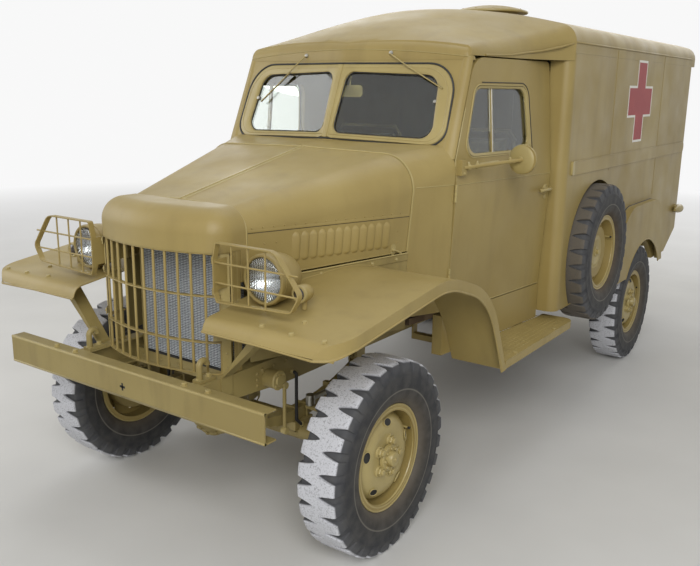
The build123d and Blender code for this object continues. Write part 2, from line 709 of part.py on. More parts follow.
def hood_left():
    shell = half_loft(HOOD_SECTIONS, 0) - half_loft(HOOD_SECTIONS, SHEET, 10)
    shell -= box(-10, HINGE_GAP, SEAM_FRONT - 5, SEAM_REAR + 5, 1000, 1700)
    shell -= box(-10, 700, SEAM_FRONT - 5, SEAM_FRONT + PANEL_GAP, 1000, 1700)
    shell -= box(-10, 700, SEAM_REAR - PANEL_GAP, SEAM_REAR + 5, 1000, 1700)
    return shell + [louvre(LOUVRE_FRONT + LOUVRE_PITCH * k) for k in range(LOUVRES)]


def front_curve(inset, z):
    """Plan of the nose and grille: side, corner, front, corner, side."""
    w = HOOD_SECTIONS[0][2] - inset
    big = FRONT_ARC_R - inset
    r = FRONT_CORNER - inset
    c = FRONT_ARC_C
    sc = c - math.sqrt((big - r) ** 2 - (w - r) ** 2)
    back = SEAM_FRONT
    reach = big / (big - r)
    tx = (w - r) * reach
    ts = c + (sc - c) * reach
    bend = (math.pi / 2 - math.atan2(w - r, c - sc)) / 2
    mx = w - r + r * math.cos(bend)
    ms = sc - r * math.sin(bend)

    def p(x, s):
        return (x, at(s), z)

    return [
        Line(p(-w, back), p(-w, sc)),
        ThreePointArc(p(-w, sc), p(-mx, ms), p(-tx, ts)),
        ThreePointArc(p(-tx, ts), p(0, c - big), p(tx, ts)),
        ThreePointArc(p(tx, ts), p(mx, ms), p(w, sc)),
        Line(p(w, sc), p(w, back)),
    ]


def nose_dome(inset, low):
    """Space under the nose's skin: the front plan with a rounded top edge."""
    top = HOOD_SECTIONS[0][1] - inset
    edges = front_curve(inset, low)
    plan = make_face(edges + [Line(edges[-1] @ 1, edges[0] @ 0)])
    solid = extrude(plan, amount=top - low, dir=(0, 0, 1))
    back = at(SEAM_FRONT)
    ridge = [e for e in solid.edges() if e.center().Z > top - 1 and e.center().Y < back - 2]
    return fillet(ridge, HOOD_SECTIONS[0][6] - inset)


def nose():
    shell = nose_dome(0, HOOD_SECTIONS[0][5]) - nose_dome(SHEET, HOOD_SECTIONS[0][5] - 10)
    mouth = box(-400, 400, SEAM_FRONT - 400, SEAM_FRONT - 30, 1000, GRILLE_TOP + SEAT_GAP)
    rise = (HOOD_SECTIONS[1][1] - HOOD_SECTIONS[0][1]) / (SEAM_REAR - SEAM_FRONT)
    front = SEAM_FRONT - 8
    back = SEAM_REAR - 1
    top = HOOD_SECTIONS[0][1]
    pin = rod((0, front, top - 8 * rise), (0, back, top + (back - SEAM_FRONT) * rise), HINGE_GAP - SEAT_GAP)
    return shell - mouth + pin


def hoop(z):
    """Flat band bent round the grille's plan."""
    outer = front_curve(2, z)
    inner = front_curve(2 + HOOP_W, z)
    face = make_face(outer + inner + [Line(outer[0] @ 0, inner[0] @ 0), Line(outer[-1] @ 1, inner[-1] @ 1)])
    band = extrude(face, amount=HOOP_T, dir=(0, 0, 1))
    return band - box(-400, 400, SEAM_FRONT - 32, SEAM_FRONT + 10, z - 5, z + 20)


def grille():
    """Round bars through four bands, with flat side straps."""
    body = None
    for z in HOOPS:
        body = hoop(z) if body is None else body + hoop(z)
    path = Wire(front_curve(2 + HOOP_W / 2, GRILLE_LOW)[1:4])
    for k in range(BAR_COUNT):
        p = path.position_at((k + 1) / (BAR_COUNT + 1))
        body += Pos(p.X, p.Y, (GRILLE_LOW + GRILLE_TOP) / 2) * Cylinder(BAR_R, GRILLE_TOP - GRILLE_LOW)
    w = HOOD_SECTIONS[0][2]
    for side in (-1, 1):
        x0, x1 = sorted((side * (w - 2), side * (w - 7)))
        body += box(x0, x1, SEAM_FRONT - 70, SEAM_FRONT - 32, GRILLE_LOW, GRILLE_TOP)
    return body


def lamp_guards():
    """Flat strap hoop before a headlamp, with thin rods across it."""
    y = at(GUARD_S)
    outer = make_face(FilletPolyline(*[(x, y, z) for x, z in GUARD], radius=[10, 10, 60, 30, 30, 10, 10],
                                     close=True))
    inner = offset(outer, amount=-5)
    ring = extrude(outer, amount=GUARD_D, dir=(0, 1, 0)) - extrude(inner, amount=GUARD_D, dir=(0, 1, 0))
    mid = GUARD_S + GUARD_D / 2
    for z in (1150, 1226):
        ring += rod((347, mid, z), (736, mid, z), 3.5)
    for x in (430, 510, 590):
        ring += rod((x, mid, 1080), (x, mid, 1300), 3.5)
    ring += box(345, 350, GUARD_S, SEAM_FRONT - 70 - SEAT_GAP, 1120, 1236)
    return both(ring)


def bullet(x, s, z, r, length, wall):
    """Bullet-shaped lamp shell, open towards the front."""
    y = at(s)
    neck = length * 0.15

    def p(a, b):
        return (x, y + a, z + b)

    ri = r - wall
    face = make_face([
        Line(p(0, ri), p(0, r)),
        Line(p(0, r), p(neck, r)),
        ThreePointArc(p(neck, r), p(length * 0.72, r * 0.72), p(length, 0)),
        Line(p(length, 0), p(length - wall, 0)),
        ThreePointArc(p(length - wall, 0), p(length * 0.70, ri * 0.72), p(neck, ri)),
        Line(p(neck, ri), p(0, ri)),
    ])
    return revolve(face, axis=Axis((x, y, z), (0, 1, 0)))


def fender_top(s):
    """Height of the fender's top at a station on its front slope."""
    (s0, z0), (s1, z1) = FENDER_CREST[1], FENDER_CREST[2]
    return z0 + (z1 - z0) * (s - s0) / (s1 - s0)


def headlamps():
    """Headlamp and marker lamp bodies with their feet on the fenders."""
    shell = bullet(LAMP_X, LAMP_S, LAMP_Z, LAMP_R, 190, 6)
    marker = bullet(MARKER_X, MARKER_S, MARKER_Z, 32, 80, 6)
    marker += rod((MARKER_X, MARKER_S + 4, MARKER_Z), (MARKER_X, MARKER_S + 12, MARKER_Z), 30)
    for x, s, body_low, r in ((LAMP_X, LAMP_S + 40, LAMP_Z - LAMP_R + 6, 22),
                              (MARKER_X, MARKER_S + 30, MARKER_Z - 25, 10)):
        foot = rod((x, s, fender_top(s + r) + SEAT_GAP), (x, s, body_low), r)
        if x == LAMP_X:
            shell += foot
        else:
            marker += foot
    return group(shell, marker, right_of(shell), right_of(marker))


def headlamp_lenses():
    lens = rod((LAMP_X, LAMP_S + 2, LAMP_Z), (LAMP_X, LAMP_S + 12, LAMP_Z), LAMP_R - 6 - SEAT_GAP)
    return both(lens)


def crest_line(x, depth):
    """Fender's crest line at one x, moved inwards by a depth, with its bends."""
    points = FENDER_CREST
    normals = []
    for (s0, z0), (s1, z1) in zip(points, points[1:]):
        run = math.hypot(s1 - s0, z1 - z0)
        normals.append(((z1 - z0) / run, (s0 - s1) / run))
    moved = []
    for k, (s, z) in enumerate(points):
        a = normals[max(k - 1, 0)]
        b = normals[min(k, len(normals) - 1)]
        reach = depth / (1 + a[0] * b[0] + a[1] * b[1])
        moved.append((x, at(s + (a[0] + b[0]) * reach), z + (a[1] + b[1]) * reach))
    return FilletPolyline(*moved, radius=[max(r - depth, 3) for r in FENDER_BENDS])


def fender_band(x0, x1, depth0, depth1):
    """Solid between two copies of the crest line, each moved inwards by its depth."""
    top = crest_line(x0, depth0)
    bottom = crest_line(x0, depth1)
    face = make_face([top, bottom, Line(top @ 0, bottom @ 0), Line(top @ 1, bottom @ 1)])
    return extrude(face, amount=x1 - x0, dir=(1, 0, 0))


def fender_plan(inset, z0, z1):
    """Plan of the fender with its rounded front corner."""
    out = FENDER_X - inset
    front = -590 + inset
    points = [(358, front), (out, front), (out, 900), (680, 900), (680, 700), (600, SEAM_REAR),
              (358, SEAM_FRONT)]
    y = [(x, at(s), z0) for x, s in points]
    face = make_face(FilletPolyline(*y, radius=[5, 150, 5, 5, 5, 1, 1], close=True))
    return extrude(face, amount=z1 - z0, dir=(0, 0, 1))


def front_fender():
    """Flat-topped fender with a rolled edge all round its outer side."""
    outer = fender_band(340, FENDER_X + 5, 0, FENDER_LIP) & fender_plan(0, 400, 1300)
    inner = fender_band(330, FENDER_X + 5, FENDER_T, FENDER_LIP + 20) & fender_plan(FENDER_T, 390, 1310)
    inner += box(300, 372, -600, 1000, 300, 1060)
    return outer - inner - box(300, 1000, 600, 1000, 500, BOARD_TOP - 35)


def apron_sheet(x_out, x_in, low, top):
    """Upright sheet along the apron line, its faces moved inwards from the fender's edge."""
    (xa, sa), (xb, sb) = APRON
    slope = (xb - xa) / (sb - sa)
    xa, sa = xa + slope * PANEL_GAP, sa + PANEL_GAP
    xb, sb = xb - slope * PANEL_GAP, sb - PANEL_GAP
    plan = prism_z([(xa - x_out, sa), (xb - x_out, sb), (xb - x_in, sb), (xa - x_in, sa)], 600, 1300)
    (s0, _, _, _, _, f0, _), (s1, _, _, _, _, f1, _) = HOOD_SECTIONS
    return plan & prism_x([(s0, low(f0)), (s0, top(f0)), (s1, top(f1)), (s1, low(f1))], 0, 1000)


def fender_apron():
    """Apron from the fender's inner edge up to the hood, with a flange, and the fender's front stay."""
    apron = apron_sheet(SEAT_GAP, 3.3, lambda z: APRON_LOW, lambda z: z - PANEL_GAP)
    flange = apron_sheet(-4, 3.3, lambda z: z - 38, lambda z: z - PANEL_GAP)
    apron += flange - fender_band(330, 1000, -SEAT_GAP, FENDER_LIP + 60)
    x = RAIL_X + SEAT_GAP
    stay = prism_y([(x, 700), (x + 6, 700), (x + 6, 778), (626, 1026), (680, 1026), (680, 1060), (600, 1060),
                    (x, 782)], STAY_S, STAY_S + STAY_W)
    stay -= fender_band(330, 1000, -200, FENDER_T + SEAT_GAP)
    return group(apron, stay)


def fender_aprons():
    return both(fender_apron())


def front_fenders():
    return both(front_fender())


def running_boards():
    """Pressed board with a turned-down edge, between front fender and body."""
    board = prism_z([(690, 800), (BOARD_X, 800), (BOARD_X, 1695), (765, 1695), (765, 1600)],
                    BOARD_TOP - 40, BOARD_TOP)
    board = fillet([e for e in board.edges() if abs(e.center().X - BOARD_X) < 1
                    and e.length < 45 and e.center().Y > at(1600)], 60)
    hollow = prism_z([(680, 790), (BOARD_X - 4, 790), (BOARD_X - 4, 1691), (761, 1691), (740, 1600)],
                     BOARD_TOP - 50, BOARD_TOP - 4)
    board -= hollow
    for s in (950, 1450):
        board += box(RAIL_X + SEAT_GAP, 900, s - 20, s + 20, BOARD_TOP - 34, BOARD_TOP - 4)
        board += box(RAIL_X + SEAT_GAP, RAIL_X + 10, s - 20, s + 20, BOARD_TOP - 34, 700)
    return both(board)


def on_cab_side(shape):
    """Place a piece made on the door plane: y is the distance behind the hinge edge."""
    return Pos(CAB_X_FRONT, at(DOOR_FRONT - PANEL_GAP), 0) * Rot(Z=-CAB_ANGLE) * shape


def cab_skin(near, far, length):
    """Slab that follows the cab side's profile between two depths."""
    outer = [(-i - near, 0, z) for i, z in CAB_PROFILE]
    inner = [(-i - far, 0, z) for i, z in reversed(CAB_PROFILE)]
    return extrude(make_face(Polyline(*(outer + inner), close=True)), amount=length, dir=(0, 1, 0))


def side_cut(points, radii):
    """Cutter with a side outline on the door plane: distance, z."""
    wire = FilletPolyline(*[(-200, a, z) for a, z in points], radius=list(radii), close=True)
    return extrude(make_face(wire), amount=400, dir=(1, 0, 0))


def window_cut(inset):
    points = [(80 + inset, WINDOW_LOW + inset), (188 + inset, WINDOW_TOP - inset),
              (655 - inset, WINDOW_TOP - inset), (690 - inset, WINDOW_LOW + inset)]
    r = 55 - inset
    return side_cut(points, (r, r, r, r))


def door_outline():
    slope = SCREEN_RAKE * (DOOR_TOP - 1545)
    g = PANEL_GAP
    return side_cut([(g, DOOR_LOW), (g, 1545), (g + slope, DOOR_TOP), (DOOR_LENGTH, DOOR_TOP),
                     (DOOR_LENGTH, DOOR_LOW)], (8, 150, 120, 30, 8))


def cab_door_left(with_mirror=True):
    door = cab_skin(0, DOOR_T, 1000) & door_outline()
    door -= window_cut(0)
    # The bar between vent pane and drop pane
    door += (cab_skin(10, 30, 1000) & Pos(0, 340, 0) * Box(400, 14, 4000)) & window_cut(-4)
    handle = Pos(8, DOOR_LENGTH - 45, 1345) * Box(40, 16, 16)
    handle += Pos(24, DOOR_LENGTH - 85, 1345) * Box(10, 100, 16)
    door += handle
    if with_mirror:
        door += mirror_arm()
    return on_cab_side(door)


def mirror_arm():
    """Round mirror on its arm, clamped to the door's front edge."""
    foot = Pos(6, 30, 1508) * Box(38, 40, 70)
    a = Vector(20, 30, 1508)
    b = Vector(150, 330, 1536)
    arm = Solid.make_cylinder(9, (b - a).length, Plane(origin=a, z_dir=b - a))
    head = Pos(b.X, b.Y + 6, b.Z) * Rot(X=90) * Cylinder(MIRROR_R, 14)
    return foot + arm + head


def door_glass_left():
    pane = cab_skin(18, 18 + GLASS_T, 1000) & window_cut(SEAT_GAP)
    pane -= Pos(0, 340, 0) * Box(400, 14 + 2 * SEAT_GAP, 4000)
    return on_cab_side(group(pane))


def screen_plane(x, z, depth):
    """Station of a surface parallel to the windshield pane, so far behind it."""
    return 655 + SCREEN_SWEEP * x + SCREEN_RAKE * (z - SCREEN_LOW) + depth


def screen_slab(front, back, points, radius):
    """Slab along the left windshield pane; its outline is given as x, z."""
    face = face_of([(x, at(0), z) for x, z in points], radius)
    bar = extrude(face, amount=1500, dir=(0, 1, 0))
    corners = []
    for z in (1400, DOOR_TOP + 104):
        row = []
        for x, depth in ((-50, front), (750, front), (750, back), (-50, back)):
            row.append((x, at(screen_plane(x, z, depth)), z))
        corners.append(make_face(Polyline(*row, close=True)))
    return bar & loft(corners, ruled=True)


def pillar_section(z):
    """Plan of the A-pillar at a height, from the windshield frame to the door's front edge."""
    x = 625
    lean = 48 * (z - BELT_Z) / (DOOR_TOP - BELT_Z)
    door_s = DOOR_FRONT - PANEL_GAP + SCREEN_RAKE * (z - 1545)
    slope = math.tan(math.radians(CAB_ANGLE))
    door_x = CAB_X_FRONT - lean + slope * (door_s - 700)
    a = (x, screen_plane(x, z, -12))
    e = (x, screen_plane(x, z, 26))
    c = (door_x, door_s)
    d = (door_x - DOOR_T, door_s + 3)
    mid = ((a[0] + c[0]) / 2 + 10, (a[1] + c[1]) / 2 - 9)

    def p(q):
        return (q[0], at(q[1]), z)

    return make_face([ThreePointArc(p(a), p(mid), p(c)), Line(p(c), p(d)), Line(p(d), p(e)), Line(p(e), p(a))])


def cowl_half():
    """Cowl side and top, firewall half and windshield frame half."""
    sections = COWL_SECTIONS
    shell = half_loft(sections, 0) - half_loft(sections, 6, 10)
    wall = half_loft(sections, 2) & box(-1, 800, SEAM_REAR + 20, SEAM_REAR + 26, 840, 1700)
    frame = screen_slab(-12, 26, [(0, 1560), (0, FRAME_TOP), (640, FRAME_TOP), (640, 1560)], 0)
    frame -= screen_slab(-60, 60, PANE, 60)
    pillar = loft([pillar_section(1545), pillar_section(FRAME_TOP)], ruled=True)
    return shell + wall + frame + pillar


def door_space():
    """Room for the left door, with its gap, inside the cab front's rear edges."""
    room = cab_skin(-60, DOOR_T + 6, 1000) & side_cut(
        [(0, DOOR_LOW - 10), (0, 1545), (SCREEN_RAKE * (DOOR_TOP - 1545), DOOR_TOP),
         (SCREEN_RAKE * (DOOR_TOP - 1545) + 20, 2150), (900, 2150), (900, DOOR_LOW - 10)], (1, 140, 1, 1, 1, 1))
    return on_cab_side(room)


def cab_hinge(z, inset):
    """Hinge leaf behind the skin, in the gap before the door's front edge."""
    y0, y1 = -8, PANEL_GAP - SEAT_GAP
    return Pos(-inset - 13, (y0 + y1) / 2, z) * Box(22, y1 - y0, 80)


def cowl():
    """Cab front: cowl, firewall, dash, A-pillars and windshield frame."""
    half = cowl_half() - door_space()
    body = half + right_of(half)
    dash = prism_x([(735, 1575), (690, 1575), (690, 1320), (706, 1320), (770, 1510)], -640, 640)
    body += dash
    leaves = on_cab_side(cab_hinge(1000, 22) + cab_hinge(1390, 4))
    body = body + leaves + right_of(leaves)
    return body - rod(COLUMN_LOW, COLUMN_TOP, 22 + SEAT_GAP)


def windshield_glass():
    inner = screen_slab(0, GLASS_T, [(x + dx, z + dz) for (x, z), (dx, dz) in zip(
        PANE, ((SEAT_GAP, SEAT_GAP), (SEAT_GAP, -SEAT_GAP), (-SEAT_GAP, -SEAT_GAP), (-SEAT_GAP, SEAT_GAP)))],
        60 - SEAT_GAP)
    return both(inner)


def cab_floor_x(s):
    """Edge of the cab floor beside the doors."""
    slope = math.tan(math.radians(CAB_ANGLE))
    return CAB_X_FRONT - CAB_PROFILE[0][0] - DOOR_T - 10 + slope * (s - DOOR_FRONT)


def floor():
    """Cab floor and three body floor panels with bearers, open at the rear wheels and the spare wheel."""
    top = FLOOR_Z + FLOOR_T
    front, back = SEAM_REAR + 30, BODY_FRONT + WALL
    a, b = cab_floor_x(front), cab_floor_x(back)
    cab = prism_z([(-a, front), (a, front), (b, back), (-b, back)], FLOOR_Z, top)
    x = BODY_X - WALL - SEAT_GAP
    s0, s1 = back + SEAT_GAP, BODY_END - WALL - SEAT_GAP
    f, r = PILLAR_R - WALL, CORNER_R - WALL
    body = prism_z([(-x + f, s0), (x - f, s0), (x, s0 + f), (x, s1 - r), (x - r, s1), (-x + r, s1),
                    (-x, s1 - r), (-x, s0 + f)], FLOOR_Z, top)
    wheel_space = rod((WHEELHOUSE_X, WHEELBASE, AXLE_Z), (900, WHEELBASE, AXLE_Z), WHEELHOUSE_R)
    body -= wheel_space + right_of(wheel_space) + spare_recess(5 + SEAT_GAP)
    seam = math.sqrt(WHEELHOUSE_R ** 2 - (top - AXLE_Z) ** 2)
    panels = [cab]
    for near, far in ((s0, WHEELBASE - seam), (WHEELBASE - seam + SEAT_GAP, WHEELBASE + seam - SEAT_GAP),
                      (WHEELBASE + seam, s1)):
        panels.append(body & box(-1000, 1000, near, far, FLOOR_Z - 1, top + 1))
    for k, stations in enumerate(((900, 1500), (2100, 2700), (WHEELBASE,), (3550, FRAME_END - 70))):
        for s in stations:
            panels[k] += box(-RAIL_X, RAIL_X, s - 25, s + 25, RAIL_TOP + SEAT_GAP, FLOOR_Z + 5)
    return group(*panels)


def wheel_houses():
    """Low domed covers on the floor over the rear wheels."""
    x = BODY_X - WALL - SEAT_GAP
    shell = rod((WHEELHOUSE_X - 5, WHEELBASE, AXLE_Z), (x, WHEELBASE, AXLE_Z), WHEELHOUSE_R + 5)
    shell -= rod((WHEELHOUSE_X, WHEELBASE, AXLE_Z), (900, WHEELBASE, AXLE_Z), WHEELHOUSE_R)
    shell -= box(0, 1000, 0, WHEELBASE + 2000, -200, FLOOR_Z + FLOOR_T + SEAT_GAP)
    return both(shell)


def spare_pan():
    """Round pan behind the spare wheel, with the boss that carries it."""
    pan = spare_recess(5) - spare_recess(0)
    face_x = SPARE_X + DISC_FACE - SEAT_GAP
    return pan + rod((SPARE_X - TYRE_W / 2 - 14, SPARE_S, SPARE_Z), (face_x, SPARE_S, SPARE_Z), 60)


def spare_recess(grow):
    """Space for the spare wheel, cut into the left side of the body."""
    r = TYRE_R + 22 + grow
    inner = SPARE_X - TYRE_W / 2 - 12 - grow
    space = rod((inner, SPARE_S, SPARE_Z), (BODY_X - WALL - SEAT_GAP, SPARE_S, SPARE_Z), r)
    return space - box(0, 1200, 0, 5000, 0, BODY_LOW)


def cab_sills():
    """Sill panel below a cab door, from the floor's edge to the cab's skin."""
    s0, s1 = DOOR_FRONT - 20, BODY_FRONT - 5
    depth = DOOR_T + 10 - SEAT_GAP
    a, b = cab_floor_x(s0) + SEAT_GAP, cab_floor_x(s1) + SEAT_GAP
    return prism_z([(a, s0), (b, s1), (b + depth, s1), (a + depth, s0)], BOARD_TOP + SEAT_GAP,
                   DOOR_LOW - PANEL_GAP)


def body_side():
    """Body side wall with its front pillar and rear corner, wheel arch and lower bevel."""
    out = BODY_X
    r0 = PILLAR_R
    x_in = CAB_X_REAR - DOOR_T - 3

    def band(inset):
        o = out - inset
        f = BODY_FRONT + inset
        e = BODY_END - inset
        return [(x_in, f), (o, f), (o, e), (REAR_OPENING, e)], (r0 - inset, CORNER_R - inset)

    outer, ro = band(0)
    inner, ri = band(WALL)
    z = BODY_LOW
    a = FilletPolyline(*[(x, at(s), z) for x, s in outer], radius=list(ro))
    b = FilletPolyline(*[(x, at(s), z) for x, s in inner], radius=list(ri))
    face = make_face([a, b, Line(a @ 0, b @ 0), Line(a @ 1, b @ 1)])
    wall = extrude(face, amount=SIDE_TOP - SEAT_GAP - z, dir=(0, 0, 1))
    wall -= box(0, 1000, BODY_FRONT - 5, ROOF_SECTIONS[-1][0] + SEAT_GAP, CAB_ROOF_LOW - SEAT_GAP,
                SIDE_TOP + 10)
    wall -= rod((500, WHEELBASE, AXLE_Z), (1000, WHEELBASE, AXLE_Z), WHEELHOUSE_R + 5)
    wall -= prism_x([(BODY_END - 360, BODY_LOW - 1), (BODY_END + 1, BODY_LOW - 1), (BODY_END + 1, 860)],
                    400, 1000)
    ends = (BODY_FRONT + 90, BODY_END - CORNER_R)
    belt = prism_x([(ends[0], BELT_LOW), (ends[1], BELT_LOW), (ends[1], BELT_HIGH), (ends[0], BELT_HIGH)],
                   BODY_X - 2, BODY_X + BELT_PROUD, 34)
    leaves = None
    for z in REAR_HINGES:
        leaf = box(REAR_OPENING - 5 + SEAT_GAP, REAR_OPENING + 3, BODY_END - 35, BODY_END - 10, z - 40, z + 40)
        leaves = leaf if leaves is None else leaves + leaf
    return wall + belt + leaves


def body_side_left():
    hole = rod((500, SPARE_S, SPARE_Z), (1000, SPARE_S, SPARE_Z), TYRE_R + 22)
    return body_side() - hole


def body_side_right():
    return right_of(body_side())


def roof_face(section, inset, low):
    """Cross section of the roof: upright foot, corner arc and crown arc on each side."""
    s, w, foot, crown, r = section
    y = at(s)
    w -= inset
    r = max(r - inset, 10)
    edge = DOOR_TOP + foot
    top = DOOR_TOP + crown - inset
    rise = top - edge
    big = ((w - r) ** 2 + rise ** 2 - r ** 2) / (2 * (rise - r))
    cz = top - big
    reach = big / (big - r)
    join = ((w - r) * reach, cz + (edge - cz) * reach)
    bend = (math.pi / 2 - math.atan2(w - r, edge - cz)) / 2
    mid = (w - r + r * math.cos(bend), edge + r * math.sin(bend))
    face = make_face([
        Line((-w, y, low), (-w, y, edge)),
        ThreePointArc((-w, y, edge), (-mid[0], y, mid[1]), (-join[0], y, join[1])),
        ThreePointArc((-join[0], y, join[1]), (0, y, top), (join[0], y, join[1])),
        ThreePointArc((join[0], y, join[1]), (mid[0], y, mid[1]), (w, y, edge)),
        Line((w, y, edge), (w, y, low)),
        Line((w, y, low), (-w, y, low)),
    ])
    return face


def ventilator():
    """Low domed roof ventilator on a round neck."""
    y = at(VENT_S)

    def p(r, drop):
        return (r, y, VENT_TOP - drop)

    cap = make_face([
        ThreePointArc(p(0, 0), p(VENT_R / 2, 10), p(VENT_R, 38)),
        Line(p(VENT_R, 38), p(VENT_R, 52)),
        Line(p(VENT_R, 52), p(VENT_R - 60, 52)),
        Line(p(VENT_R - 60, 52), p(VENT_R - 60, 110)),
        Line(p(VENT_R - 60, 110), p(0, 110)),
        Line(p(0, 110), p(0, 0)),
    ])
    return revolve(cap, axis=Axis((0, y, 0), (0, 0, 1)))


def roof():
    """Cab roof that flows into the body's roof, with the ventilator."""
    low = CAB_ROOF_LOW
    end = ROOF_SECTIONS[-1]
    skin = WALL - 10
    outer = loft([roof_face(s, 0, low) for s in ROOF_SECTIONS])
    inner = loft([roof_face(s, skin, low - 5) for s in ROOF_SECTIONS[1:]])
    brow = screen_slab(-650, -12, [(0, low - 5), (0, low + 90), (740, low + 90), (740, low - 5)], 0)
    cab = outer - brow - right_of(brow)
    cab -= inner
    length = BODY_END - end[0]
    body = extrude(roof_face(end, 0, SIDE_TOP), amount=length, dir=(0, 1, 0))
    hollow = extrude(roof_face(end, skin, SIDE_TOP - 5), amount=length - WALL, dir=(0, 1, 0))
    return cab + (body + ventilator() - hollow)


def rear_fender():
    """Fender over the rear wheel, open below and towards the body."""
    front, back = WHEELBASE - 585, WHEELBASE + 476
    low, top = ARCH_Z, 1118

    def outline(inset, x0, x1):
        points = [(front + inset, low), (front + 62 + inset, top - inset), (back - 160 - inset, top - inset),
                  (back - inset, low)]
        face = make_face(FilletPolyline(*[(x0, at(s), z) for s, z in points],
                                        radius=[5, 280 - inset, 200 - inset, 5], close=True))
        return extrude(face, amount=x1 - x0, dir=(1, 0, 0))

    shell = outline(0, BODY_X + SEAT_GAP, FENDER_REAR_X) - outline(5, BODY_X - 5, FENDER_REAR_X - 5)
    shell -= rod((800, WHEELBASE, AXLE_Z), (1000, WHEELBASE, AXLE_Z), WHEELHOUSE_R)
    return shell - box(800, 1000, front - 50, back + 50, low - 10, low + 8)


def rear_door(x0, x1):
    """One rear door with its window cut out."""
    door = box(x0, x1, BODY_END - WALL - 5, BODY_END - 5, REAR_DOOR_LOW, REAR_DOOR_TOP)
    mid = (x0 + x1) / 2
    hole = rear_window(mid, 0)
    door -= hole
    return door


def rear_window(mid, inset):
    low, top = REAR_DOOR_TOP - 550 + inset, REAR_DOOR_TOP - 210 - inset
    half = 190 - inset
    points = [(mid - half, low), (mid + half, low), (mid + half, top), (mid - half, top)]
    return prism_y(points, BODY_END - 200, BODY_END + 100, 50 - inset)


def rear_glass(mid):
    return rear_window(mid, SEAT_GAP) & box(-900, 900, BODY_END - 25, BODY_END - 20, 1000, 2200)


def seats():
    """Two cab seats: boxes with cushions, and sloping backs."""
    base = FLOOR_Z + FLOOR_T + SEAT_GAP
    pieces = []
    for x in (-360, 360):
        cushion = box(x - 250, x + 250, 1060, 1500, 1060, 1170)
        pieces.append(cushion + box(x - 230, x + 230, 1080, 1480, base, 1060))
        pieces.append(prism_x([(1430, 1170 + SEAT_GAP), (1510, 1170 + SEAT_GAP), (1580, 1640), (1520, 1650)],
                              x - 240, x + 240))
    return group(*pieces)


def tail_lamps():
    s = BODY_END - 160
    lamp = rod((BODY_X + 30, s, 970), (BODY_X + 30, s + 35, 970), 26)
    lamp += box(BODY_X + SEAT_GAP, BODY_X + 12, s + 4, s + 28, 955, 985)
    return both(lamp)


def spare_tyre():
    return tyre(SPARE_X, SPARE_S, SPARE_Z)


def spare_wheel():
    return rim(SPARE_X, SPARE_S, SPARE_Z)


def sills():
    return both(cab_sills())


def nodes():
    """Every named piece with its shape."""
    front = (WHEEL_X_FRONT, 0, AXLE_Z)
    rear = (WHEEL_X_REAR, WHEELBASE, AXLE_Z)
    table = {
        "frame_rails": frame_rails, "front_bumper": front_bumper, "tow_hooks": tow_hooks,
        "front_axle": front_axle, "rear_axle": rear_axle, "suspension": suspension,
        "steering_gear": steering_gear, "powertrain": powertrain, "exhaust": exhaust,
        "cross_members": cross_members, "fuel_tank": fuel_tank, "radiator": radiator, "nose": nose,
        "grille": grille, "lamp_guards": lamp_guards, "headlamps": headlamps,
        "headlamp_lenses": headlamp_lenses, "front_fenders": front_fenders, "fender_aprons": fender_aprons,
        "running_boards": running_boards, "cowl": cowl, "windshield_glass": windshield_glass,
        "floor": floor, "wheel_houses": wheel_houses, "spare_pan": spare_pan, "cab_sills": sills,
        "body_side_left": body_side_left, "body_side_right": body_side_right, "roof": roof,
        "seats": seats, "tail_lamps": tail_lamps,
        "spare_tyre": spare_tyre, "spare_wheel": spare_wheel, "tie_rod": tie_rod,
        "drag_link": drag_link, "pitman_arm": pitman_arm, "steering_wheel": steering_wheel,
        "rear_step": rear_step, "hood_left": hood_left, "cab_door_left": cab_door_left,
        "door_glass_left": door_glass_left,
        "rear_fenders": lambda: both(rear_fender()),
        "knuckle_left": knuckle, "knuckle_right": lambda: right_of(knuckle()),
        "hood_right": lambda: right_of(hood_left()),
        "cab_door_right": lambda: right_of(cab_door_left(False)),
        "door_glass_right": lambda: right_of(door_glass_left()),
        "rear_door_left": lambda: rear_door(3, REAR_OPENING - 5),
        "rear_door_right": lambda: rear_door(-REAR_OPENING + 5, -3),
        "rear_glass_left": lambda: rear_glass(299),
        "rear_glass_right": lambda: rear_glass(-299),
    }
    for name, place in (("front", front), ("rear", rear)):
        table[f"tyre_{name}_left"] = lambda p=place: tyre(*p)
        table[f"tyre_{name}_right"] = lambda p=place: right_of(tyre(*p))
        table[f"wheel_{name}_left"] = lambda p=place: wheel(*p)
        table[f"wheel_{name}_right"] = lambda p=place: right_of(wheel(*p))
    return table


for node, make in nodes().items():
    export_step(make(), f"parts/{node}.step")
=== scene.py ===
"""Looks of a half-ton military ambulance truck: finishes, fine pieces, camera and light."""
import json
import logging
import math
from dataclasses import dataclass
from enum import Enum
from typing import Iterable, Sequence

import bmesh
import bpy
from mathutils import Matrix, Vector


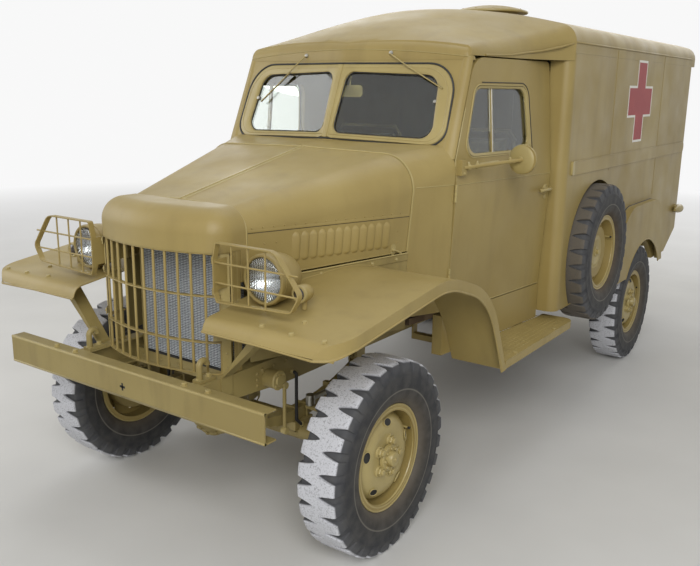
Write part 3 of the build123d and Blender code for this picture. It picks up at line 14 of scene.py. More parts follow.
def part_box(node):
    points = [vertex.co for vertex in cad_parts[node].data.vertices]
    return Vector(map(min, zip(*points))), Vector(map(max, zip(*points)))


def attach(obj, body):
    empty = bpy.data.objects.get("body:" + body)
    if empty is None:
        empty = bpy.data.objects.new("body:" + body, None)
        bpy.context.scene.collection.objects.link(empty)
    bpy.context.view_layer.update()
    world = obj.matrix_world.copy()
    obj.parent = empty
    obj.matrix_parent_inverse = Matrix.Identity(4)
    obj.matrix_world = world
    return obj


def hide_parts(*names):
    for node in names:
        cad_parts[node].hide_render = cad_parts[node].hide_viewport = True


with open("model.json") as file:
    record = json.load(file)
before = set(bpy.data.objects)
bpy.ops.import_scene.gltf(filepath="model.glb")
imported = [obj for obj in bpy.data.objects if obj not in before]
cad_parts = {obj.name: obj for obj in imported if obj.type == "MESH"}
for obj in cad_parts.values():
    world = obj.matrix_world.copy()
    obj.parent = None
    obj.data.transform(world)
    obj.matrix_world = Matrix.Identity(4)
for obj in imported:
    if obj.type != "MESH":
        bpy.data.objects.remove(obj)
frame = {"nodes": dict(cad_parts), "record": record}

LOG = logging.getLogger("ambulance")
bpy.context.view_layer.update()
FRONT_AXLE_Y = -1.8325
WHEELBASE = 3124
# A wave texture of scale 1 repeats every 0.314 m
WAVE_UNIT = 0.314
Point = tuple[float, float, float]
Spot = tuple[float, float]
Node, Socket, Tree = bpy.types.Node, bpy.types.NodeSocket, bpy.types.NodeTree
X_AXIS, Y_AXIS, Z_AXIS = Vector((1, 0, 0)), Vector((0, 1, 0)), Vector((0, 0, 1))


def metres(x: float, station: float, z: float) -> Vector:
    """Point in metres from x, station behind the front axle and height, in mm."""
    return Vector((x / 1000, FRONT_AXLE_Y + station / 1000, z / 1000))


def turns(count: int, start: float = 0.0) -> list[float]:
    """Angles of evenly spaced places round a circle."""
    return [start + 2 * math.pi * k / count for k in range(count)]


def circle(centre: Vector, u: Vector, v: Vector, radius: float, angles: Iterable[float]) -> list[Vector]:
    """Places on a circle in the plane of two unit vectors; the radius is in mm."""
    return [centre + (u * math.cos(t) + v * math.sin(t)) * radius / 1000 for t in angles]


def path(side: int, points: Iterable[Point]) -> list[Vector]:
    """Points in metres from x, station and height in mm, with x mirrored on the right side."""
    return [metres(side * x, s, z) for x, s, z in points]


def stand(name: str, data: bpy.types.ID, place: Point | Vector = (0, 0, 0)) -> bpy.types.Object:
    """Put a mesh, lamp or camera into the scene as an object.

    Args:
        name: Name of the object.
        data: Its mesh, lamp or camera.
        place: Where it stands, in metres.

    Returns:
        The new object.
    """
    made = bpy.data.objects.new(name, data)
    made.location = place
    bpy.context.collection.objects.link(made)
    return made


def linear(colour: str) -> tuple[float, float, float, float]:
    """Turn an sRGB hex colour to linear.

    Args:
        colour: Six hex digits.

    Returns:
        Red, green, blue and an alpha of 1.
    """
    parts = []
    for k in range(3):
        c = int(colour[2 * k:2 * k + 2], 16) / 255
        parts.append(c / 12.92 if c <= 0.04045 else ((c + 0.055) / 1.055) ** 2.4)
    return (*parts, 1.0)


class Kind(Enum):
    """Node types in use, by Blender's names for them."""

    AXES = "ShaderNodeSeparateXYZ"
    BACKGROUND = "ShaderNodeBackground"
    BEVEL = "ShaderNodeBevel"
    BUMP = "ShaderNodeBump"
    COMPARE = "FunctionNodeCompare"
    EDGE_ANGLE = "GeometryNodeInputMeshEdgeAngle"
    EMISSION = "ShaderNodeEmission"
    GROUP_IN = "NodeGroupInput"
    GROUP_OUT = "NodeGroupOutput"
    LIGHT_PATH = "ShaderNodeLightPath"
    MAPPING = "ShaderNodeMapping"
    MATERIAL_OUT = "ShaderNodeOutputMaterial"
    MATH = "ShaderNodeMath"
    MIX = "ShaderNodeMix"
    MIX_SHADER = "ShaderNodeMixShader"
    NOISE = "ShaderNodeTexNoise"
    PLACE = "ShaderNodeTexCoord"
    RAMP = "ShaderNodeValToRGB"
    SHADE = "GeometryNodeSetShadeSmooth"
    SHADER = "ShaderNodeBsdfPrincipled"
    SURFACE = "ShaderNodeNewGeometry"
    VECTOR_MATH = "ShaderNodeVectorMath"
    WAVE = "ShaderNodeTexWave"
    WELD = "GeometryNodeMergeByDistance"
    WORLD_OUT = "ShaderNodeOutputWorld"


# Settings that many nodes share
COLOURS = {"data_type": "RGBA"}
ADD_TO_PRODUCT, GREATER, LARGEST, PRODUCT, RATIO, SIZE, ROOT, NEAR = (
    {"operation": name} for name in
    ("MULTIPLY_ADD", "GREATER_THAN", "MAXIMUM", "MULTIPLY", "DIVIDE", "ABSOLUTE", "SQRT", "COMPARE"))


def add_node(tree: Tree, kind: Kind, settings: dict | None = None,
             **links: object) -> Node:
    """Add one node with its settings and links.

    Args:
        tree: The node tree that gets the node.
        kind: Type of the node.
        settings: Attributes by name, socket values by index or name, and a colour ramp's stops, which are
            positions with a hex colour or a grey level.
        links: Node, socket, number or hex colour for an input, by the input's name with underscores for
            blanks, or by its number after in.

    Returns:
        The new node.
    """
    node = tree.nodes.new(kind.value)
    for key, value in (settings or {}).items():
        if key == "stops":
            cells = node.color_ramp.elements
            while len(cells) < len(value):
                cells.new(0.5)
            for cell, (position, colour) in zip(cells, value):
                cell.position = position
                cell.color = linear(colour) if isinstance(colour, str) else (colour, colour, colour, 1.0)
        elif isinstance(key, int) or not hasattr(node, key):
            node.inputs[key].default_value = value
        else:
            setattr(node, key, value)
    for key, source in links.items():
        socket = node.inputs[int(key[2:]) if key[2:].isdigit() else key.replace("_", " ")]
        if isinstance(source, Node):
            source = next(output for output in source.outputs if output.enabled)
        if isinstance(source, Socket):
            tree.links.new(source, socket)
        else:
            socket.default_value = linear(source) if isinstance(source, str) else source
    return node


@dataclass(frozen=True)
class Pattern:
    """Natural mottle of a real size: a noise, stretched where it runs one way, and a ramp over it."""

    size: float
    detail: float
    stops: tuple = ()
    stretch: Point = (1, 1, 1)

    def add(self, tree: Tree, place: Socket) -> Node:
        """Add the pattern's nodes.

        Args:
            tree: The material's tree.
            place: Object coordinates, in metres.

        Returns:
            The last node, whose first output is the pattern.
        """
        source = place
        if self.stretch != (1, 1, 1):
            source = add_node(tree, Kind.MAPPING, {"Scale": self.stretch}, Vector=place)
        noise = add_node(tree, Kind.NOISE, {"Scale": 1 / self.size, "Detail": self.detail}, Vector=source)
        return add_node(tree, Kind.RAMP, {"stops": self.stops}, in0=noise) if self.stops else noise


def seen_rays(tree: Tree) -> Node:
    """Add a value of 1 for rays from the camera, off gloss or through glass, and 0 for all others.

    Args:
        tree: The node tree.

    Returns:
        The node with the value.
    """
    path = add_node(tree, Kind.LIGHT_PATH)
    mirrored = add_node(tree, Kind.MATH, LARGEST, in0=path.outputs["Is Glossy Ray"],
                        in1=path.outputs["Is Transmission Ray"])
    return add_node(tree, Kind.MATH, LARGEST, in0=path.outputs["Is Camera Ray"], in1=mirrored)


@dataclass(frozen=True)
class Finish:
    """A surface finish, made once and shared by all pieces that have it."""

    name: str

    def material(self) -> bpy.types.Material:
        """Return the material, building it the first time.

        Returns:
            The material.
        """
        found = bpy.data.materials.get(self.name)
        if found:
            return found
        made = bpy.data.materials.new(self.name)
        made.use_nodes = True
        tree = made.node_tree
        tree.nodes.clear()
        place = add_node(tree, Kind.PLACE).outputs["Object"]
        add_node(tree, Kind.MATERIAL_OUT, Surface=self.surface(tree, place))
        return made

    def surface(self, tree: Tree, place: Socket) -> Node:
        """Add the shader with the finish's inputs."""
        return add_node(tree, Kind.SHADER, **self.inputs(tree, place))

    def inputs(self, tree: Tree, place: Socket) -> dict[str, object]:
        """Add the nodes of the finish; each finish has its own.

        Args:
            tree: The material's tree.
            place: Object coordinates, in metres.

        Returns:
            The shader's inputs: a node, socket, number or hex colour for each name.
        """
        raise NotImplementedError


@dataclass(frozen=True)
class SprayedEnamel(Finish):
    """Khaki alkyd enamel, sprayed on pressed steel: soft satin, clouded, with dust and faint runs."""

    body: str = "93804A"
    faded: str = "A28F57"
    grime: str = "574A2A"
    dry_dust: str = "B5A674"
    dust: float = 0.16
    stain: float = 0.22
    rough: float = 0.46
    edge: float = 0.0025

    def inputs(self, tree: Tree, place: Socket) -> dict[str, object]:
        """Cloudy fading, run-down stains, dust on what faces up and a fine sprayed skin.

        Args:
            tree: The material's tree.
            place: Object coordinates, in metres.

        Returns:
            The shader's inputs by name.
        """
        cloud = Pattern(0.55, 5, ((0.35, 0.0), (0.7, 1.0))).add(tree, place)
        colour = add_node(tree, Kind.MIX, COLOURS, in0=cloud, in6=self.body, in7=self.faded)
        # Rain runs stretch down the panels, so this noise is long in Z
        runs = Pattern(0.09, 6, ((0.52, 0.0), (0.82, self.stain)), (1, 1, 0.16)).add(tree, place)
        colour = add_node(tree, Kind.MIX, COLOURS, in0=runs, in6=colour, in7=self.grime)
        # Specks of road dirt of 1 mm, drawn 6 mm apart so that they show
        specks = Pattern(0.006, 2, ((0.68, 0.0), (0.8, self.stain))).add(tree, place)
        colour = add_node(tree, Kind.MIX, COLOURS, in0=specks, in6=colour, in7=self.grime)
        # Dust settles in patches on what faces up
        up = add_node(tree, Kind.AXES, in0=add_node(tree, Kind.SURFACE).outputs["Normal"])
        shelf = add_node(tree, Kind.RAMP, {"stops": ((0.6, 0.0), (1.0, self.dust))}, in0=up.outputs[2])
        patchy = add_node(tree, Kind.MIX, COLOURS, in0=Pattern(0.12, 4).add(tree, place), in6="000000", in7=shelf)
        colour = add_node(tree, Kind.MIX, COLOURS, in0=patchy, in6=colour, in7=self.dry_dust)
        rub = Pattern(0.2, 6, ((0.3, self.rough - 0.06), (0.75, self.rough + 0.12))).add(tree, place)
        # Orange peel of about 1.5 mm over the slow waves of thin pressed sheet, with edges that look rolled
        skin = add_node(tree, Kind.MATH, ADD_TO_PRODUCT, in0=Pattern(0.0016, 1).add(tree, place), in1=0.2,
                        in2=Pattern(0.16, 1).add(tree, place))
        rolled = add_node(tree, Kind.BEVEL, {"samples": 4, "Radius": self.edge})
        bump = add_node(tree, Kind.BUMP, {"Strength": 0.3, "Distance": 0.0022}, Height=skin, Normal=rolled)
        return {"Base_Color": colour, "Roughness": rub, "Normal": bump}


@dataclass(frozen=True)
class SuspensionEnamel(SprayedEnamel):
    """Chassis enamel whose front brake hoses stay black rubber."""

    hose: str = "1C1B19"

    def inputs(self, tree: Tree, place: Socket) -> dict[str, object]:
        """Enamel, with black rubber where the hoses hang beside the rails.

        Args:
            tree: The material's tree.
            place: Object coordinates, in metres.

        Returns:
            The shader's inputs by name.
        """
        enamel = super().inputs(tree, place)
        axes = add_node(tree, Kind.AXES, in0=place)
        width = add_node(tree, Kind.MATH, SIZE, in0=axes.outputs[0])
        beside = add_node(tree, Kind.MATH, GREATER, in0=width, in1=0.374)
        close = add_node(tree, Kind.MATH, NEAR, in0=axes.outputs[1], in1=FRONT_AXLE_Y - 0.04, in2=0.045)
        mask = add_node(tree, Kind.MATH, PRODUCT, in0=beside, in1=close)
        enamel["Base_Color"] = add_node(tree, Kind.MIX, COLOURS, in0=mask, in6=enamel["Base_Color"], in7=self.hose)
        return enamel


@dataclass(frozen=True)
class MouldedTyreRubber(Finish):
    """Natural rubber cross-country tyre, moulded: black walls, ground lug tops grey with dust."""

    tread_radius: float = 0.404
    chalk: str = "C8C9CE"
    dirt: str = "5B5348"
    film: str = "6E6B64"

    def inputs(self, tree: Tree, place: Socket) -> dict[str, object]:
        """Dust by the radius from the wheel's axle, flecks on the lug tops and a grained wall.

        Args:
            tree: The material's tree.
            place: Object coordinates, in metres.

        Returns:
            The shader's inputs by name.
        """
        axes = add_node(tree, Kind.AXES, in0=place)
        height = add_node(tree, Kind.MATH, PRODUCT, in0=axes.outputs[2], in1=axes.outputs[2])
        square = add_node(tree, Kind.MATH, ADD_TO_PRODUCT, in0=axes.outputs[1], in1=axes.outputs[1], in2=height)
        radius = add_node(tree, Kind.MATH, ROOT, in0=square)
        share = add_node(tree, Kind.MATH, RATIO, in0=radius, in1=self.tread_radius)
        # Wall dust: brown near the rim, a moulded line, clean black in the middle, grey at the shoulder
        wall = add_node(tree, Kind.RAMP, {"stops": (
            (0.54, self.dirt), (0.62, "39342D"), (0.70, "292725"), (0.712, "6B675F"), (0.722, "222223"),
            (0.86, "292A2D"), (0.94, "454649"))}, in0=share)
        blotch = Pattern(0.05, 8, ((0.38, 0.0), (0.66, 0.55))).add(tree, place)
        dusty = add_node(tree, Kind.MIX, COLOURS, in0=blotch, in6=wall, in7=self.film)
        colour = add_node(tree, Kind.MIX, COLOURS, in0=0.35, in6=wall, in7=dusty)
        # Lug tops are scuffed pale; flecks of 3 mm keep the black rubber showing between them
        top = add_node(tree, Kind.RAMP, {"stops": ((0.972, 0.0), (0.988, 1.0))}, in0=share)
        fleck = Pattern(0.006, 6, ((0.33, 0.5), (0.48, 1.0))).add(tree, place)
        scuffed = add_node(tree, Kind.MIX, COLOURS, in0=fleck, in6="000000", in7=top)
        colour = add_node(tree, Kind.MIX, COLOURS, in0=scuffed, in6=colour, in7=self.chalk)
        bump = add_node(tree, Kind.BUMP, {"Strength": 0.6, "Distance": 0.0012},
                        Height=Pattern(0.0035, 5).add(tree, place))
        return {"Base_Color": colour, "Roughness": 0.78, "IOR": 1.52, "Normal": bump}


@dataclass(frozen=True)
class PlateGlass(Finish):
    """Flat drawn glass, washed: clear with a faint film of dust."""

    tint: str = "EEF3EF"
    film: float = 0.03

    def inputs(self, tree: Tree, place: Socket) -> dict[str, object]:
        """Clear glass whose haze changes from place to place."""
        haze = Pattern(0.08, 6, ((0.3, 0.0), (0.8, self.film))).add(tree, place)
        return {"Base_Color": self.tint, "IOR": 1.5, "Transmission_Weight": 1.0, "Roughness": haze}


@dataclass(frozen=True)
class FlutedLampGlass(Finish):
    """Pressed headlamp glass with upright flutes that break up the light."""

    tint: str = "F4F7F8"
    flute: float = 0.009

    def inputs(self, tree: Tree, place: Socket) -> dict[str, object]:
        """Clear glass with flutes 9 mm apart across the lamp.

        Args:
            tree: The material's tree.
            place: Object coordinates, in metres.

        Returns:
            The shader's inputs by name.
        """
        flutes = add_node(tree, Kind.WAVE, {"bands_direction": "X", "Scale": WAVE_UNIT / self.flute,
                                            "Distortion": 0.4}, Vector=place)
        bump = add_node(tree, Kind.BUMP, {"Strength": 0.6, "Distance": 0.0016}, Height=flutes)
        return {"Base_Color": self.tint, "IOR": 1.5, "Transmission_Weight": 1.0, "Roughness": 0.04, "Normal": bump}


@dataclass(frozen=True)
class PolishedMetal(Finish):
    """Bare metal, turned or rolled and worn bright, with hairline scratches."""

    colour: str = "B9B8B2"
    dull: str = "8C8A82"
    rough: float = 0.25

    def inputs(self, tree: Tree, place: Socket) -> dict[str, object]:
        """Even metal whose gloss is broken by fine scratches 1 mm apart.

        Args:
            tree: The material's tree.
            place: Object coordinates, in metres.

        Returns:
            The shader's inputs by name.
        """
        shade = Pattern(0.03, 6, ((0.35, self.colour), (0.8, self.dull))).add(tree, place)
        scratches = Pattern(0.001, 3, ((0.3, self.rough), (0.8, self.rough + 0.2)), (1, 8, 1)).add(tree, place)
        return {"Metallic": 1.0, "Base_Color": shade, "Roughness": scratches}


@dataclass(frozen=True)
class RustedIron(Finish):
    """Sheet iron of an exhaust, rolled and scaled by heat: dull brown with pits."""

    def inputs(self, tree: Tree, place: Socket) -> dict[str, object]:
        """Rust blooms of 20 mm over dark scale.

        Args:
            tree: The material's tree.
            place: Object coordinates, in metres.

        Returns:
            The shader's inputs by name.
        """
        bloom = Pattern(0.02, 8, ((0.3, "3A2C22"), (0.55, "6A4529"), (0.72, "8A5A33"))).add(tree, place)
        bump = add_node(tree, Kind.BUMP, {"Strength": 0.7, "Distance": 0.0015},
                        Height=Pattern(0.004, 6).add(tree, place))
        return {"Base_Color": bloom, "Roughness": 0.85, "Normal": bump}


@dataclass(frozen=True)
class RadiatorCore(Finish):
    """Soldered tube and fin core, dipped in grey paint: upright tubes with zigzag fins between."""

    tube: float = 0.018
    fin: float = 0.007

    def inputs(self, tree: Tree, place: Socket) -> dict[str, object]:
        """Pale fins 7 mm apart between tubes 18 mm apart, with painted shade deep between them and a painted
        highlight on the fin crests; the real fins are 3 mm and wouldn't show.

        Args:
            tree: The material's tree.
            place: Object coordinates, in metres.

        Returns:
            The shader's inputs by name.
        """
        tubes = add_node(tree, Kind.WAVE, {"bands_direction": "X", "Scale": WAVE_UNIT / self.tube,
                                           "Distortion": 0.0}, Vector=place)
        fins = add_node(tree, Kind.WAVE, {"bands_direction": "Z", "Scale": WAVE_UNIT / self.fin, "Distortion": 3.0,
                                          "Detail": 2.0, "Detail Scale": 2.0}, Vector=place)
        between = add_node(tree, Kind.RAMP, {"stops": ((0.15, 0.6), (0.6, 1.0))}, in0=tubes)
        depth = add_node(tree, Kind.MATH, PRODUCT, in0=fins, in1=between)
        # Painted shade and painted highlight: the grey darkens where the core is deep between tubes and fins, and
        # turns near white on the fin crests
        shade = add_node(tree, Kind.RAMP, {"stops": ((0.08, "565B61"), (0.42, "A6ACB2"), (0.8, "DBE0E4"))},
                         in0=depth)
        bump = add_node(tree, Kind.BUMP, {"Strength": 0.8, "Distance": 0.004}, Height=depth)
        return {"Base_Color": shade, "Roughness": 0.55, "Normal": bump}


@dataclass(frozen=True)
class SeatCanvas(Finish):
    """Olive cotton duck, plain woven and proofed: matt with a visible weave and rubbed crowns."""

    thread: float = 0.003

    def inputs(self, tree: Tree, place: Socket) -> dict[str, object]:
        """Weave of 3 mm threads, coarser than the real 1 mm so that it shows, with painted shade between the
        threads, and worn patches.

        Args:
            tree: The material's tree.
            place: Object coordinates, in metres.

        Returns:
            The shader's inputs by name.
        """
        warp, weft = (add_node(tree, Kind.WAVE, {"bands_direction": way, "Scale": WAVE_UNIT / self.thread},
                               Vector=place) for way in "XY")
        weave = add_node(tree, Kind.MATH, LARGEST, in0=warp, in1=weft)
        worn = Pattern(0.12, 5, ((0.35, "55502F"), (0.75, "7B744B"))).add(tree, place)
        # Painted shade: the colour darkens in the gaps between threads
        gaps = add_node(tree, Kind.RAMP, {"stops": ((0.2, 0.6), (0.7, 0.0))}, in0=weave)
        colour = add_node(tree, Kind.MIX, COLOURS, in0=gaps, in6=worn, in7="3C3820")
        bump = add_node(tree, Kind.BUMP, {"Strength": 0.7, "Distance": 0.0008}, Height=weave)
        return {"Base_Color": colour, "Roughness": 0.92, "Sheen_Weight": 0.25, "Normal": bump}


@dataclass(frozen=True)
class SmoothRubber(Finish):
    """Black rubber or hard rubber, extruded or moulded, with a little bloom."""

    colour: str = "1B1B1A"
    rough: float = 0.5

    def inputs(self, tree: Tree, place: Socket) -> dict[str, object]:
        """Near black, greyed in clouds of 60 mm where the rubber has bloomed.

        Args:
            tree: The material's tree.
            place: Object coordinates, in metres.

        Returns:
            The shader's inputs by name.
        """
        bloom = Pattern(0.06, 5, ((0.4, self.colour), (0.8, "3B3A37"))).add(tree, place)
        bump = add_node(tree, Kind.BUMP, {"Strength": 0.4, "Distance": 0.0004},
                        Height=Pattern(0.004, 2).add(tree, place))
        return {"Base_Color": bloom, "Roughness": self.rough, "IOR": 1.52, "Normal": bump}


@dataclass(frozen=True)
class MarkingEnamel(Finish):
    """Gloss enamel of painted signs, brushed on through a mask: even, with thin brush lines."""

    colour: str = "B01E22"
    faded: str = "A8332C"

    def inputs(self, tree: Tree, place: Socket) -> dict[str, object]:
        """One colour that fades in clouds, with brush lines 2 mm apart.

        Args:
            tree: The material's tree.
            place: Object coordinates, in metres.

        Returns:
            The shader's inputs by name.
        """
        cloud = Pattern(0.15, 6, ((0.45, self.colour), (1.0, self.faded))).add(tree, place)
        bump = add_node(tree, Kind.BUMP, {"Strength": 0.4, "Distance": 0.0004},
                        Height=Pattern(0.002, 2, stretch=(1, 1, 0.1)).add(tree, place))
        return {"Base_Color": cloud, "Roughness": 0.5, "Normal": bump}


@dataclass(frozen=True)
class LampLens(Finish):
    """Coloured pressed glass of a small lamp: deep, smooth, lit only by what falls on it."""

    colour: str = "8E1414"

    def inputs(self, tree: Tree, place: Socket) -> dict[str, object]:
        """Deep colour under a hard gloss, with rings 4 mm apart pressed into the glass.

        Args:
            tree: The material's tree.
            place: Object coordinates, in metres.

        Returns:
            The shader's inputs by name.
        """
        deep = Pattern(0.02, 2, ((0.3, self.colour), (0.9, "2A1614"))).add(tree, place)
        rings = add_node(tree, Kind.WAVE, {"wave_type": "RINGS", "Scale": 78.0}, Vector=place)
        bump = add_node(tree, Kind.BUMP, {"Strength": 0.5, "Distance": 0.0008}, Height=rings)
        return {"Base_Color": deep, "Roughness": 0.12, "Coat_Weight": 0.6, "Normal": bump}


@dataclass(frozen=True)
class FloorLinoleum(Finish):
    """Ribbed brown floor covering, calendered: matt, scuffed along the middle."""

    def inputs(self, tree: Tree, place: Socket) -> dict[str, object]:
        """Brown sheet with ribs 12 mm apart and grey scuffs.

        Args:
            tree: The material's tree.
            place: Object coordinates, in metres.

        Returns:
            The shader's inputs by name.
        """
        scuff = Pattern(0.1, 6, ((0.4, "4A3A28"), (0.75, "6B5A44"))).add(tree, place)
        ribs = add_node(tree, Kind.WAVE, {"bands_direction": "X", "Scale": 26.0}, Vector=place)
        bump = add_node(tree, Kind.BUMP, {"Strength": 0.6, "Distance": 0.002}, Height=ribs)
        return {"Base_Color": scuff, "Roughness": 0.7, "Normal": bump}


@dataclass(frozen=True)
class StudioFloor(Finish):
    """Pale matt studio floor that shows white to the camera but keeps the shadow."""

    reach: float = 16.0
    white: float = 0.94

    def inputs(self, tree: Tree, place: Socket) -> dict[str, object]:
        """Pale grey with a faint mottle."""
        mottle = Pattern(0.8, 3, ((0.3, "D2D1CD"), (0.8, "DCDBD7"))).add(tree, place)
        return {"Base_Color": mottle, "Roughness": 0.9}

    def surface(self, tree: Tree, place: Socket) -> Node:
        """Matt floor near the object, which passes into the white surroundings farther out.

        Args:
            tree: The material's tree.
            place: Object coordinates, in metres.

        Returns:
            The surface's shader node.
        """
        distance = add_node(tree, Kind.VECTOR_MATH, {"operation": "LENGTH"}, in0=place)
        share = add_node(tree, Kind.MATH, RATIO, in0=distance.outputs["Value"], in1=self.reach)
        fade = add_node(tree, Kind.RAMP, {"stops": ((0.25, 0.0), (0.75, 1.0))}, in0=share)
        mask = add_node(tree, Kind.MATH, PRODUCT, in0=fade, in1=seen_rays(tree))
        glow = add_node(tree, Kind.EMISSION, {"Color": (1, 1, 1, 1), "Strength": self.white})
        return add_node(tree, Kind.MIX_SHADER, in0=mask, in1=super().surface(tree, place), in2=glow)


PANEL_PAINT = SprayedEnamel("sprayed_khaki_enamel")
CHASSIS_PAINT = SprayedEnamel("sprayed_khaki_chassis_enamel", body="8A7A48", faded="998955", stain=0.5,
                              rough=0.55, dust=0.3)
SUSPENSION_PAINT = SuspensionEnamel("sprayed_khaki_suspension_enamel", body="8A7A48", faded="998955",
                                     stain=0.5, rough=0.55, dust=0.3)
INSIDE_PAINT = SprayedEnamel("sprayed_interior_enamel", body="7F7348", faded="8B7F54", dust=0.1, rough=0.5)
FITTING_PAINT = SprayedEnamel("brushed_khaki_enamel", body="A08F5A", faded="B0A06A", stain=0.2, rough=0.36,
                              edge=0.001)
TYRE_RUBBER = MouldedTyreRubber("moulded_tyre_rubber")
SPARE_RUBBER = MouldedTyreRubber("moulded_tyre_rubber_muddied", chalk="5E574C", dirt="4F4232")
WINDOW_GLASS = PlateGlass("drawn_plate_glass")
LAMP_GLASS = FlutedLampGlass("pressed_fluted_lamp_glass")
REFLECTOR = PolishedMetal("silvered_spun_brass", colour="F6F7F8", rough=0.16)
BARE_STEEL = PolishedMetal("rolled_bare_steel", colour="B3B1A8", rough=0.3)
EXHAUST_IRON = RustedIron("heat_scaled_sheet_iron")
CORE = RadiatorCore("dipped_radiator_core")
CANVAS = SeatCanvas("proofed_cotton_duck")
SEAL_RUBBER = SmoothRubber("extruded_seal_rubber", rough=0.6)
HARD_RUBBER = SmoothRubber("moulded_hard_rubber", colour="141413", rough=0.28)
CROSS_RED = MarkingEnamel("brushed_red_enamel", colour="8F070B")
CROSS_WHITE = MarkingEnamel("brushed_white_enamel", colour="E9E6DC", faded="D8D0BE")
RED_LENS = LampLens("pressed_red_glass")
DARK_LENS = LampLens("pressed_smoked_glass", colour="33302C")
LINOLEUM = FloorLinoleum("ribbed_linoleum")
DIAL_PAINT = MarkingEnamel("printed_dial_enamel", colour="1E1E1C", faded="34332F")
STUDIO_FLOOR = StudioFloor("matt_studio_floor")
SHADOW = SmoothRubber("unlit_cavity_paint", colour="12110D", rough=0.9)


def across(axis: Vector) -> tuple[Vector, Vector]:
    """Two unit vectors at right angles to an axis and to each other."""
    first = (Z_AXIS if abs(axis.z) < 0.9 else X_AXIS).cross(axis).normalized()
    return first, axis.cross(first).normalized()


def rounded(points: Sequence[Spot], radii: Sequence[float], steps: int = 8) -> list[Spot]:
    """Open line through corner points with tangent arcs at the inner ones.

    Args:
        points: Corner points in a plane.
        radii: Radius at each inner corner.
        steps: Points along each arc.

    Returns:
        Points of the line.
    """
    line = [points[0]]
    for before, corner, after, radius in zip(points, points[1:], points[2:], radii):
        a, b, c = Vector(before), Vector(corner), Vector(after)
        u, v = (a - b).normalized(), (c - b).normalized()
        half = u.angle(v) / 2
        run = radius / math.tan(half)
        centre = b + (u + v).normalized() * radius / math.sin(half)
        start, end = b + u * run - centre, b + v * run - centre
        turn = start.angle(end)
        for k in range(steps + 1):
            t = k / steps
            spot = centre + (start * math.sin((1 - t) * turn) + end * math.sin(t * turn)) / math.sin(turn)
            line.append((spot.x, spot.y))
    line.append(points[-1])
    return line


